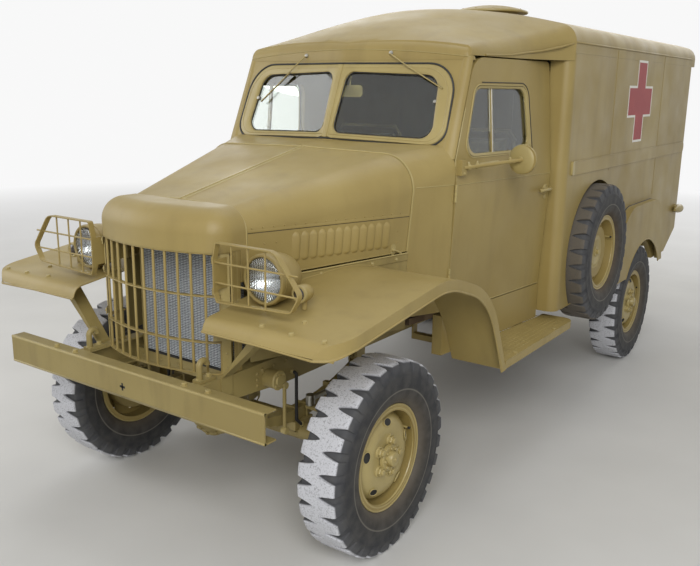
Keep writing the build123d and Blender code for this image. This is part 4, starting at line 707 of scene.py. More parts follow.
class Piece:
    """One piece under construction: its parts share a mesh in metres and ride on one body."""

    def __init__(self, name: str, *finishes: Finish, origin: Vector = Vector((0, 0, 0))) -> None:
        """Start an empty piece.

        Args:
            name: Name of its object.
            finishes: Its finishes, used by index.
            origin: Where its object stands; the points stay in the vehicle's frame.
        """
        self.name, self.finishes, self.origin = name, finishes, origin
        self.mesh = bmesh.new()

    def skin(self, rows: Sequence[Sequence[Vector]], finish: int = 0, round_rows: bool = False,
             round_all: bool = False, caps: bool = False) -> None:
        """Join rows of points by faces.

        Args:
            rows: Rows with the same number of points.
            finish: Index of the finish.
            round_rows: Whether each row closes on itself.
            round_all: Whether the last row joins the first.
            caps: Whether the end rows are filled.
        """
        grid = [[self.mesh.verts.new(p - self.origin) for p in row] for row in rows]
        count = len(grid[0])
        for k in range(len(grid) if round_all else len(grid) - 1):
            a, b = grid[k], grid[(k + 1) % len(grid)]
            for j in range(count if round_rows else count - 1):
                i = (j + 1) % count
                self.mesh.faces.new((a[j], a[i], b[i], b[j])).material_index = finish
        if caps:
            self.mesh.faces.new(grid[0]).material_index = finish
            self.mesh.faces.new(list(reversed(grid[-1]))).material_index = finish

    def lathe(self, profile: Sequence[Spot], centre: Vector, axis: Vector, steps: int = 24,
              finish: int = 0, ring: bool = False) -> None:
        """Turn a profile about an axis.

        Args:
            profile: Distances along the axis with radii, in mm.
            centre: Point on the axis where the distance is 0.
            axis: Unit vector of the axis.
            steps: Points around.
            finish: Index of the finish.
            ring: Whether the profile closes on itself.
        """
        u, v = across(axis)
        rows = []
        for along, radius in profile:
            rows.append(circle(centre + axis * along / 1000, u, v, max(radius, 0.01), turns(steps)))
        self.skin(rows, finish, round_rows=True, round_all=ring)

    def tube(self, points: Sequence[Vector], radius: float, sides: int = 8, finish: int = 0,
             closed: bool = False) -> None:
        """Round bar along a line of points.

        Args:
            points: Points in metres.
            radius: Radius in mm.
            sides: Points around.
            finish: Index of the finish.
            closed: Whether the line closes on itself.
        """
        count = len(points)
        rows = []
        side = None
        for k, point in enumerate(points):
            before = points[k - 1] if k or closed else point
            after = points[(k + 1) % count] if k < count - 1 or closed else point
            ahead = (after - before).normalized()
            side = across(ahead)[0] if side is None else (side - ahead * side.dot(ahead)).normalized()
            up = ahead.cross(side)
            rows.append(circle(point, side, up, radius, turns(sides)))
        self.skin(rows, finish, round_rows=True, round_all=closed, caps=not closed)

    def bolts(self, places: Iterable[Vector], axis: Vector, wide: float, tall: float, finish: int = 0) -> None:
        """Hexagon heads on thin washers, standing along an axis; sizes in mm.

        Args:
            places: Points in metres.
            axis: Direction along which the parts stand.
            wide: Width across flats.
            tall: Height of the heads.
            finish: Index of the finish.
        """
        for place in places:
            r = wide / 2 / math.cos(math.pi / 6)
            self.lathe([(-0.5, r * 1.25), (1, r * 1.25), (1, 0)], place, axis, 12, finish)
            self.lathe([(1, r), (tall * 0.8, r), (tall, r * 0.8), (tall, 0)], place, axis, 6, finish)

    def rivets(self, places: Iterable[Vector], axis: Vector, radius: float, tall: float, finish: int = 0) -> None:
        """Low round heads standing along an axis; sizes in mm.

        Args:
            places: Points in metres.
            axis: Direction along which the parts stand.
            radius: Radius of the heads.
            tall: Height of the heads.
            finish: Index of the finish.
        """
        for place in places:
            self.lathe([(-0.5, radius), (tall * 0.6, radius * 0.85), (tall, radius * 0.4), (tall, 0)],
                       place, axis, 10, finish)

    def plate(self, outline: Sequence[Vector], thick: Vector, finish: int = 0) -> None:
        """Flat plate from its outline and the vector through its thickness."""
        self.skin([outline, [p + thick for p in outline]], finish, round_rows=True, caps=True)

    def block(self, low: Vector, high: Vector, finish: int = 0) -> None:
        """Square block between two corners.

        Args:
            low: Lowest corner, in metres.
            high: Highest corner, in metres.
            finish: Index of the finish.
        """
        base = [Vector((x, y, low.z)) for x, y in ((low.x, low.y), (high.x, low.y), (high.x, high.y),
                                                   (low.x, high.y))]
        self.plate(base, Vector((0, 0, high.z - low.z)), finish)

    def build(self, body: str, sharp: float = 35.0) -> bpy.types.Object:
        """Make the object and let it ride on a body.

        Args:
            body: Name of the body.
            sharp: Edges over this angle, in degrees, stay crisp.

        Returns:
            The new object.
        """
        bmesh.ops.remove_doubles(self.mesh, verts=self.mesh.verts, dist=2.5e-5)
        bmesh.ops.recalc_face_normals(self.mesh, faces=self.mesh.faces)
        for face in self.mesh.faces:
            face.smooth = True
        for edge in self.mesh.edges:
            if len(edge.link_faces) == 2 and edge.calc_face_angle(0) > math.radians(sharp):
                edge.smooth = False
        data = bpy.data.meshes.new(self.name)
        self.mesh.to_mesh(data)
        self.mesh.free()
        for finish in self.finishes:
            data.materials.append(finish.material())
        made = stand(self.name, data, self.origin)
        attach(made, body)
        LOG.info("%s: %d faces on %s", self.name, len(data.polygons), body)
        return made


def along(line: Sequence[Spot], station: float) -> Spot:
    """Height and slope of a line of (station, z) points at a station.

    Args:
        line: Points of station and height.
        station: Distance behind the front axle, in mm.

    Returns:
        Height and slope.
    """
    for (s0, z0), (s1, z1) in zip(line, line[1:]):
        if s0 <= station <= s1 and s1 > s0:
            slope = (z1 - z0) / (s1 - s0)
            return z0 + slope * (station - s0), slope
    return line[-1][1], 0.0


def loop(points: Sequence[Spot], radius: float, steps: int = 6) -> list[Spot]:
    """Closed outline with rounded corners.

    Args:
        points: Corners of the outline.
        radius: Radius of each corner.
        steps: Points along each arc.

    Returns:
        Points of the outline, the first not repeated.
    """
    start = tuple((a + b) / 2 for a, b in zip(points[0], points[-1]))
    return rounded([start, *points, start], [radius] * len(points), steps)[:-1]


def inset(points: Sequence[Spot], depth: float) -> list[Spot]:
    """Outline moved inwards by a depth, or outwards by a negative one; corners go round clockwise.

    Args:
        points: Corners of the outline.
        depth: Distance in mm.

    Returns:
        The moved corners.
    """
    moved = []
    count = len(points)
    area = sum(a[0] * b[1] - b[0] * a[1] for a, b in zip(points, [*points[1:], points[0]]))
    turn = 1 if area > 0 else -1
    for k in range(count):
        a, b, c = Vector(points[k - 1]), Vector(points[k]), Vector(points[(k + 1) % count])
        u, v = (b - a).normalized(), (c - b).normalized()
        n, m = Vector((-u.y, u.x)) * turn, Vector((-v.y, v.x)) * turn
        spot = b + (n + m) * depth / (1 + n.dot(m))
        moved.append((spot.x, spot.y))
    return moved


@dataclass(frozen=True)
class HoodShape:
    """Places on the hood and nose, which taper towards the front."""

    front: float = -310
    rear: float = 470
    sections: tuple = ((1410, 352, 1398, 346, 1125, 95), (1580, 632, 1568, 593, 1150, 150))
    # Growth of the half width over the hood's length
    taper: float = 280 / 780

    def section(self, station: float) -> list[float]:
        """Middle z, shoulder x and z, foot x and z and radius at a station."""
        k = (station - self.front) / (self.rear - self.front)
        return [a + k * (b - a) for a, b in zip(*self.sections)]

    def side(self, station: float, z: float) -> float:
        """Half width of the hood's side at a station and height."""
        _, sx, sz, fx, fz, _ = self.section(station)
        return fx + (sx - fx) * (z - fz) / (sz - fz)

    def top(self, station: float, x: float) -> float:
        """Height of the hood's top away from its rounded shoulder."""
        mid, sx, sz, *_ = self.section(station)
        return mid + (sz - mid) * abs(x) / sx

    def outline(self, station: float, lift: float = 0.0) -> list[Spot]:
        """Half outline of the cross section from the foot to the middle, moved out by a lift."""
        mid, sx, sz, fx, fz, r = self.section(station)
        return rounded([(fx + lift, fz), (sx + lift, sz + lift), (3, mid + lift)], [r + lift], 12)

    def out(self, station: float, side: int) -> Vector:
        """Direction straight out of the hood's side."""
        _, sx, sz, fx, fz, _ = self.section(station)
        return Vector((side, -self.taper, -(sx - fx) / (sz - fz))).normalized()


@dataclass(frozen=True)
class DoorPlane:
    """Places on the cab's side, whose plane opens out towards the rear."""

    front_x: float = 700
    front_station: float = 700
    angle: float = math.atan2(90, 900)
    length: float = 896 / math.cos(math.atan2(90, 900))
    profile: tuple = ((820, 30), (1330, 2), (1430, 0), (1996, 48))

    def point(self, out: float, back: float, z: float, side: int) -> Vector:
        """Point so far out of the cab's skin and behind the door's front edge, on a side.

        Args:
            out: Distance out of the cab's skin, in mm.
            back: Distance behind the door's front edge, in mm.
            z: Height, in mm.
            side: 1 on the left, -1 on the right.

        Returns:
            The point in metres.
        """
        skin = -along(self.profile, z)[0] + out
        c, s = math.cos(self.angle), math.sin(self.angle)
        place = metres(self.front_x + skin * c + back * s, self.front_station - skin * s + back * c, z)
        return Vector((side * place.x, place.y, place.z))

    def normal(self, side: int) -> Vector:
        """Direction straight out of the cab's side."""
        return Vector((side * math.cos(self.angle), -math.sin(self.angle), 0.04)).normalized()


HOOD = HoodShape()
DOOR = DoorPlane()
SIDES = (("left", 1), ("right", -1))


def smooth_cad() -> Tree:
    """Node group that welds a CAD mesh and shades it smooth, with edges over 38 degrees crisp.

    Returns:
        The node group.
    """
    group = bpy.data.node_groups.new("smooth_pressings", "GeometryNodeTree")
    group.interface.new_socket("Geometry", in_out="INPUT", socket_type="NodeSocketGeometry")
    group.interface.new_socket("Geometry", in_out="OUTPUT", socket_type="NodeSocketGeometry")
    weld = add_node(group, Kind.WELD, {"Distance": 1e-5}, Geometry=add_node(group, Kind.GROUP_IN))
    soft = add_node(group, Kind.SHADE, {"domain": "FACE", "Shade Smooth": True}, Geometry=weld)
    bend = add_node(group, Kind.EDGE_ANGLE)
    hard = add_node(group, Kind.COMPARE, {"data_type": "FLOAT", 1: math.radians(38), **GREATER},
                    in0=bend.outputs[0])
    crisp = add_node(group, Kind.SHADE, {"domain": "EDGE", "Shade Smooth": False}, Geometry=soft, Selection=hard)
    add_node(group, Kind.GROUP_OUT, Geometry=crisp)
    return group


def dress_cad() -> None:
    """Give every CAD node its finish and soft shading."""
    finishes = {
        CHASSIS_PAINT: ("frame_rails", "front_bumper", "tow_hooks", "front_axle", "rear_axle",
                        "steering_gear", "powertrain", "cross_members", "fuel_tank", "tie_rod", "pitman_arm",
                        "rear_step", "knuckle_left", "knuckle_right", "fender_aprons", "wheel_houses",
                        "spare_pan"),
        SUSPENSION_PAINT: ("suspension",), EXHAUST_IRON: ("exhaust",), CORE: ("radiator",),
        BARE_STEEL: ("drag_link",), LINOLEUM: ("floor",), HARD_RUBBER: ("steering_wheel",),
        WINDOW_GLASS: ("windshield_glass", "door_glass_left", "door_glass_right", "rear_glass_left",
                       "rear_glass_right"),
        LAMP_GLASS: ("headlamp_lenses",), RED_LENS: ("tail_lamps",),
        TYRE_RUBBER: ("spare_tyre", "tyre_front_left", "tyre_front_right", "tyre_rear_left", "tyre_rear_right"),
    }
    finish_of = {name: finish for finish, names in finishes.items() for name in names}
    group = smooth_cad()
    for name, node in frame["nodes"].items():
        node.data.materials.clear()
        node.data.materials.append(finish_of.get(name, PANEL_PAINT).material())
        node.modifiers.new("smooth", "NODES").node_group = group
        weigh = node.modifiers.new("flats", "WEIGHTED_NORMAL")
        weigh.keep_sharp = True
        weigh.weight = 80
    LOG.info("dressed %d CAD nodes", len(frame["nodes"]))


@dataclass(frozen=True)
class Tyre:
    """Cross-country tyre with pockets from both shoulders in turn and a ribbed upper wall."""

    lugs: int = 29
    radius: float = 404
    # Lug x and radius, pocket x and radius and pocket half width, from the middle to the wall
    tread: tuple = (
        (11, 404, 11, 404, 1.6), (14, 404, 15, 392, 3), (22, 404, 22, 390, 6.5), (40, 404, 40, 389, 12),
        (60, 403.6, 58, 388, 16), (72, 403, 70, 386, 18), (80, 401.5, 77, 382, 19), (86, 397, 82, 375, 19.5),
        (90, 386, 86, 367, 19.5), (93, 370, 90, 359, 19.5), (95, 354, 94.6, 353.5, 19.5))
    wall: tuple = ((97.4, 348.5), (98.4, 345), (97, 340), (98.2, 322), (98.8, 300), (97.5, 275), (92, 250),
                   (82, 235), (73, 228), (66, 224), (62, 222), (62, 204.5))

    def pitch(self) -> float:
        """Length of one lug and one pocket along the tread."""
        return 2 * math.pi * self.radius / self.lugs

    def offsets(self, width: float | None) -> list[float]:
        """Places of the 12 columns of a pitch around its middle; a width makes room for a pocket.

        Args:
            width: Pocket's half width, or none where there is no pocket.

        Returns:
            Distances from the middle, in mm.
        """
        pitch = self.pitch()
        if width is None:
            return [pitch * (k / 12 - 0.5) for k in range(12)]
        low = max(width - 3.5, width * 0.3)
        half = [0, low * 0.5, low, width, width + 2, (width + 2 + pitch / 2) / 2, pitch / 2]
        return [-h for h in reversed(half[1:])] + half[:6]

    def row(self, x: float, x_low: float, r: float, r_low: float, width: float | None, side: int) -> list[Vector]:
        """Ring of points at one place across the tyre.

        Args:
            x: Place of the lug's surface.
            x_low: Place of the pocket's floor.
            r: Radius of the lug's surface.
            r_low: Radius of the pocket's floor.
            width: Pocket's half width, or none where there is no pocket.
            side: 1 or -1; pockets of side -1 lie half a pitch on.

        Returns:
            Points in metres about the wheel's centre.
        """
        pitch = self.pitch()
        offsets = self.offsets(width)
        low_columns = range(4, 9)
        ring = []
        for lug in range(self.lugs):
            for j in range(12):
                k = j if side > 0 else (j + 6) % 12
                shift = 0 if side > 0 else (-pitch / 2 if j < 6 else pitch / 2)
                sunk = width is not None and k in low_columns
                angle = (offsets[k] + shift + lug * pitch) / self.radius - math.pi / 2
                reach = r_low if sunk else r
                ring.append(Vector((side * (x_low if sunk else x), reach * math.cos(angle),
                                    reach * math.sin(angle))) / 1000)
        return ring

    def build(self) -> None:
        """Make one mesh and stand it at the five wheels."""
        piece = Piece("tyre_shape", TYRE_RUBBER)
        half = {}
        for side in (1, -1):
            rows = [self.row(x, xl, r, rl, g, side) for x, r, xl, rl, g in self.tread]
            rows += [self.row(x, x, r, r, None, side) for x, r in self.wall]
            half[side] = rows
        middle = [self.row(5, 5, self.radius, self.radius, None, side) for side in (-1, 1)]
        rows = list(reversed(half[-1])) + middle + half[1]
        piece.skin(rows, round_rows=True)
        first = piece.build("vehicle", sharp=32)
        data = first.data
        bpy.data.objects.remove(first)
        for name in ("tyre_front_left", "tyre_front_right", "tyre_rear_left", "tyre_rear_right", "spare_tyre"):
            low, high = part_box(name)
            if name == "spare_tyre":
                data = data.copy()
                data.materials[0] = SPARE_RUBBER.material()
            made = stand(name + "_rubber", data, (Vector(low) + Vector(high)) / 2)
            if made.location.x < 0:
                made.rotation_euler = (0, 0, math.pi)
            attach(made, body_of(name))
            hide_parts(name)
        LOG.info("tyres: %d faces each", len(data.polygons))


@dataclass(frozen=True)
class WheelFittings:
    """Nuts, hub bolts, cap, valve and rolled rim edges; a profile has distances along the axis and radii."""

    flange: tuple = ((69, 223.5), (71.5, 221.5), (71.5, 218), (69, 216), (65, 218.5), (65, 222))
    side_ring: tuple = ((60, 195), (66, 197.5), (69.2, 201), (69.6, 206), (66, 209))
    valve_circle: float = 178
    # Pressed disc that bulges outwards over the plain CAD disc, and its hand holes as dark plates of painted shade
    disc: tuple = ((27.6, 178), (34, 173), (47, 160), (56.5, 141), (60, 121), (59, 105), (56.5, 96), (56, 47))
    hand_holes: int = 5
    hand_hole_circle: float = 149
    hand_hole_out: float = 53.6
    hand_hole_half: Spot = (24, 17)
    # Two-step wheel nuts on their bosses, from the disc outwards, with the points around each
    nuts: int = 5
    nut_circle: float = 70
    nut: tuple = ((((56, 25), (59.5, 24), (62, 19.8)), 20), (((60, 20), (70, 20), (73, 17.5), (73.5, 0)), 6),
                  (((73, 13), (80, 13), (82.5, 10), (83, 0)), 18))
    # Hub flange, its bolts, the cap, its screw and the brake drum's bead
    hub_parts: tuple = ((((60, 55), (72, 55), (75.6, 52.5), (75.8, 33)), 40),
                        (((75.6, 34), (80, 33), (94, 31), (98, 28), (99.5, 20), (100, 0)), 36),
                        (((99.8, 8), (103, 7), (104, 0)), 16),
                        (((29.4, 96), (31.4, 101), (30.6, 108), (29.4, 110)), 60))
    flange_circle: float = 42
    flange_bolts: int = 8
    spare_cover: tuple = ((8, 196), (16, 176), (25, 150), (27.8, 120), (28.4, 90), (28.6, 84), (31, 80),
                          (31, 76), (28.8, 72), (28.8, 0))
    spare_nut: tuple = ((28, 30), (33, 30), (34, 26), (34, 0))

    def build(self) -> None:
        """Dress the four road wheels and the spare."""
        for name in ("wheel_front_left", "wheel_front_right", "wheel_rear_left", "wheel_rear_right",
                     "spare_wheel"):
            tyre = name.replace("wheel_", "tyre_").replace("spare_wheel", "spare_tyre")
            low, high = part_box(tyre)
            centre = (Vector(low) + Vector(high)) / 2
            side = 1 if centre.x > 0 else -1
            axis = Vector((side, 0, 0))
            piece = Piece(name + "_fittings", FITTING_PAINT, SHADOW, CANVAS, origin=centre)
            self.rim_edges(piece, centre, axis)
            if name == "spare_wheel":
                self.spare_clamp(piece, centre, axis)
            else:
                self.hub(piece, centre, axis)
            piece.build(body_of(name))

    def ring(self, centre: Vector, axis: Vector, along_axis: float, radius: float, count: int,
             start: float = 0.0) -> list[Vector]:
        """Evenly spaced places on a circle about the wheel's axis."""
        return circle(centre + axis * along_axis / 1000, *across(axis), radius, turns(count, start))

    def rim_edges(self, piece: Piece, centre: Vector, axis: Vector) -> None:
        """Rolled edge of the outer flange, side ring and tyre valve.

        Args:
            piece: The piece that gets these parts.
            centre: Middle of the wheel.
            axis: Direction along which the parts stand.
        """
        for out in (1, -1):
            piece.lathe(self.flange, centre, axis * out, 72, ring=True)
        piece.lathe(self.side_ring, centre, axis, 72)
        stem = self.ring(centre, axis, 20, self.valve_circle, 1, 0.4)[0]
        piece.tube([stem, stem + axis * 0.034], 4.2)
        piece.tube([stem + axis * 0.034, stem + axis * 0.044], 5.2, 10, 1)

    def hub(self, piece: Piece, centre: Vector, axis: Vector) -> None:
        """Pressed disc with its hand holes drawn as dark plates of painted shade, wheel nuts, hub flange with its
        bolts, and hub cap.

        Args:
            piece: The piece that gets these parts.
            centre: Middle of the wheel.
            axis: Direction along which the parts stand.
        """
        piece.lathe(self.disc, centre, axis, 60)
        middle = centre + axis * self.hand_hole_out / 1000
        for place in self.ring(centre, axis, self.hand_hole_out, self.hand_hole_circle, self.hand_holes, 0.3):
            radial = (place - middle).normalized()
            # The disc slopes inwards here, and the hole's rim lies flat on it
            normal = (axis * 0.89 + radial * 0.45).normalized()
            tangent = normal.cross(radial).normalized()
            slope = tangent.cross(normal).normalized()
            wide, tall = self.hand_hole_half
            rim = [place + normal * 0.0012 + (tangent * wide * math.cos(t) + slope * tall * math.sin(t)) / 1000
                   for t in turns(20)]
            # Painted shade: a dark plate stands where the hole is open
            piece.plate(rim, normal * 0.0006, 1)
            piece.tube(rim, 2.6, 8, closed=True)
        for place in self.ring(centre, axis, 0, self.nut_circle, self.nuts):
            for profile, steps in self.nut:
                piece.lathe(profile, place, axis, steps)
        for profile, steps in self.hub_parts:
            piece.lathe(profile, centre, axis, steps)
        piece.bolts(self.ring(centre, axis, 75.4, self.flange_circle, self.flange_bolts), axis, 12, 8)

    def spare_clamp(self, piece: Piece, centre: Vector, axis: Vector) -> None:
        """Plain dished cover disc of the spare with its clamp nut and a raised ring.

        Args:
            piece: The piece that gets these parts.
            centre: Middle of the wheel.
            axis: Direction along which the parts stand.
        """
        piece.lathe(self.spare_cover, centre, axis, 64)
        piece.lathe(self.spare_nut, centre, axis, 24)
        piece.bolts([centre + axis * 0.034], axis, 26, 16)


def body_of(node: str) -> str:
    """Name of the body that a CAD node belongs to."""
    bodies = frame["record"]["behaviour"]["bodies"]
    return next(body for body, names in bodies.items() if node in names)


@dataclass(frozen=True)
class Lamps:
    """Headlamps, marker lamps and tail lamps."""

    head: Point = (505, -384, 1166)
    marker: Point = (650, -360, 1130)
    tail: Point = (895, 4040, 970)
    # Profiles along Y with their radii: the rim has a rolled lip, a step and a second ring
    rim: tuple = ((-7, 84), (-9.5, 86.5), (-9.5, 91), (-6, 95.5), (3, 97), (9, 96.4), (10, 93.5), (13, 93.4),
                  (14, 95.6), (19, 95.8), (20, 92.3))
    dish_radii: tuple = (84, 78, 70, 60, 48, 34, 20, 12)
    dish_front: float = 14
    dish_depth: float = 62
    bulb: tuple = ((26, 0), (27, 5), (32, 8.5), (38, 8), (44, 5), (47, 5))
    lens_radius: float = 84.5
    lens_dome: float = 19
    marker_rim: tuple = ((-3.5, 24), (-5, 28), (-3, 33.5), (6, 33.8), (8, 32.2))
    marker_lens: tuple = ((-9, 0), (-8, 10), (-5, 20), (-1, 26.5))
    tail_shell: tuple = ((-92, 0), (-90, 10), (-60, 20), (-14, 30), (26, 33), (36, 33), (38, 30.5), (36, 28))
    tail_lens: tuple = ((36, 28.5), (42, 24), (44, 12), (44.5, 0))

    def build(self) -> None:
        """Make the lamps of both sides."""
        for name, side in SIDES:
            self.headlamp(name, side)
            self.small_lamps(name, side)

    def headlamp(self, name: str, side: int) -> None:
        """Rim with its clamp screw, reflector, bulb and domed fluted lens of one headlamp.

        Args:
            name: Name of the side.
            side: 1 on the left, -1 on the right.
        """
        centre, = path(side, [self.head])
        piece = Piece(f"headlamp_{name}_reflector", REFLECTOR, PANEL_PAINT, SEAL_RUBBER, BARE_STEEL)
        dish = [(self.dish_front + self.dish_depth * (1 - (r / self.dish_radii[0]) ** 2), r)
                for r in self.dish_radii]
        piece.lathe(dish, centre, Y_AXIS, 48)
        piece.lathe([(10, 85.8), (14, 85.8), (14, 82)], centre, Y_AXIS, 48, 2)
        piece.lathe(self.rim, centre, Y_AXIS, 56, 1)
        piece.lathe([(-7, 84), (-3, 83.2), (0, 83)], centre, Y_AXIS, 56, 1)
        clamp = centre + Vector((0, 0.004, -0.0975))
        piece.bolts([clamp], -Z_AXIS, 9, 6, 1)
        piece.lathe(self.bulb, centre, Y_AXIS, 16, 3)
        piece.lathe([(47, 9), (74, 9)], centre, Y_AXIS, 16, 3)
        piece.build("vehicle")
        lens = Piece(f"headlamp_{name}_lens", LAMP_GLASS, origin=centre)
        front = [(-self.lens_dome * math.cos(t), self.lens_radius * math.sin(t)) for t in
                 (math.pi / 2 * k / 8 for k in range(9))]
        lens.lathe([*front, (3, self.lens_radius), *[(a + 3.5, r * 0.985) for a, r in reversed(front)]], centre,
                   Y_AXIS, 48)
        made = lens.build("vehicle")
        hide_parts("headlamp_lenses")

    def small_lamps(self, name: str, side: int) -> None:
        """Marker lamp on the fender and tail lamp with its cone-shaped shell.

        Args:
            name: Name of the side.
            side: 1 on the left, -1 on the right.
        """
        centre, tail = path(side, (self.marker, self.tail))
        piece = Piece(f"marker_and_tail_{name}", PANEL_PAINT, DARK_LENS, RED_LENS, FITTING_PAINT)
        piece.lathe(self.marker_rim, centre, Y_AXIS, 32, 3)
        piece.lathe(self.marker_lens, centre, Y_AXIS, 32, 1)
        piece.lathe(self.tail_shell, tail, Y_AXIS, 28, 3)
        piece.lathe(self.tail_lens, tail, Y_AXIS, 28, 2)
        piece.plate([metres(side * 866, self.tail[1] + a, self.tail[2] + b) for a, b in
                     ((-22, -30), (52, -30), (52, 30), (-22, 30))], Vector((side * 0.004, 0, 0)), 3)
        piece.bolts([metres(side * 870, self.tail[1] + a, self.tail[2] + b) for a in (-10, 40) for b in
                     (-20, 20)], X_AXIS * side, 10, 5, 3)
        piece.build("vehicle")


@dataclass(frozen=True)
class Front:
    """Grille, radiator face, bumper and tow hook trim."""

    # Corner of the grille in plan: x, station and radius
    corner: Point = (247, -371.9, 103)
    # Bolts under the nose's lip, which bows about a far centre
    lip_centre: float = 238
    lip_radius: float = 760
    lip_pitch: float = 82
    tab_half: Spot = (24, 14)
    tab_heights: Point = (1222, 1103, 922)
    core_half: float = 248
    core_station: float = -306
    bumper_bolts: Spot = (318, 440)

    def build(self) -> None:
        """Make the trim of the vehicle's front."""
        self.grille()
        self.radiator()
        self.bumper()

    def grille(self) -> None:
        """Tabs with bolts at each band, rivets on the straps and bolts under the nose's lip."""
        piece = Piece("grille_tabs", FITTING_PAINT, SHADOW)
        cx, cs, r = self.corner
        for _, side in SIDES:
            for z in self.tab_heights:
                angle = math.radians(40)
                out = Vector((side * math.cos(angle), -math.sin(angle), 0))
                turn = Vector((side * math.sin(angle), math.cos(angle), 0))
                spot = metres(side * cx, cs, z + 3) + out * (r + 0.6) / 1000
                wide, tall = self.tab_half
                corners = [spot + turn * a / 1000 + Z_AXIS * b / 1000 for a, b in
                           ((-wide, -tall), (wide, -tall), (wide, tall), (-wide, tall))]
                piece.plate(corners, out * 0.003)
                piece.bolts([spot + out * 0.003 - turn * 0.008], out, 12, 6)
            # Flat iron down the end of the grille, where the bars and the lamp guard are riveted
            strip = path(side, ((331, -431, 778), (352, -404, 778), (352, -404, 1246), (331, -431, 1246)))
            out = Vector((side * 27, -21, 0)).normalized()
            piece.plate(strip, out * 0.004)
            piece.rivets([metres(side * 342.5, -418, z) + out * 0.004 for z in (800, 860, 955, 1020, 1140, 1190)],
                         out, 5, 3)
        for k in range(-3, 4):
            x = k * self.lip_pitch
            s = self.lip_centre - math.sqrt(self.lip_radius ** 2 - x ** 2)
            piece.bolts([metres(x, s + 12, 1251)], -Z_AXIS, 10, 6)
        # Flat side irons behind the bars, from the bumper up to the nose
        for _, side in SIDES:
            piece.tube([metres(side * 345, -360, 776), metres(side * 345, -360, 1248)], 5.5, 10)
        piece.build("vehicle")

    def radiator(self) -> None:
        """Core face with its frame, header tank seam, a dark strip of painted shade under the core, the lower
        plate, and the filler.
        """
        piece = Piece("radiator_face", CORE, CHASSIS_PAINT, SHADOW)
        piece.block(metres(-self.core_half, self.core_station, 735), metres(self.core_half, -297, 1205))
        for x in (-259, 246):
            piece.block(metres(x, -312, 700), metres(x + 13, -296, 1238), 1)
        piece.block(metres(-252, -314, 1200), metres(252, -296, 1240), 1)
        # Painted shade: a dark strip along the core's lower edge
        piece.block(metres(-252, -309, 726), metres(252, -296, 737), 2)
        piece.block(metres(-300, -305, 668), metres(300, -297, 727), 1)
        piece.bolts([metres(x, -305, 700) for x in (-270, -160, -50, 60, 170, 280)], -Y_AXIS, 13, 6, 1)
        piece.lathe([(0, 42), (40, 40), (52, 34), (54, 0)], metres(0, -262, 1236), Z_AXIS, 28, 1)
        piece.build("vehicle")

    def bumper(self) -> None:
        """Bolts through the bumper's flanges, the cross-shaped hole as dark plates of painted shade, and the tow
        hooks' bolts.
        """
        piece = Piece("bumper_bolts", FITTING_PAINT, SHADOW)
        spots = [side * x for side in (1, -1) for x in self.bumper_bolts]
        piece.bolts([metres(x, -618, 785) for x in spots], Z_AXIS, 19, 11)
        piece.bolts([metres(x, -610, 668) for x in spots], -Z_AXIS, 19, 11)
        # Painted shade: two dark plates make the cross-shaped hole
        for wide, tall in ((15, 4.5), (4.5, 15)):
            piece.plate([metres(a, -644.2, 714 + b) for a, b in ((-wide, -tall), (wide, -tall), (wide, tall),
                                                                (-wide, tall))], Vector((0, -0.0004, 0)), 1)
        for _, side in SIDES:
            piece.bolts([metres(side * 322 - 1, -497, 787.3)], Z_AXIS, 18, 11)
            piece.bolts([metres(side * 322, -554, 787)], Z_AXIS, 12, 6)
            # Rounded edges that the pressed channel has along its face
            for z in (672.5, 780.5):
                piece.tube([metres(0, -639.5, z), metres(side * 728, -639.5, z)], 6, 12)
        piece.build("vehicle")


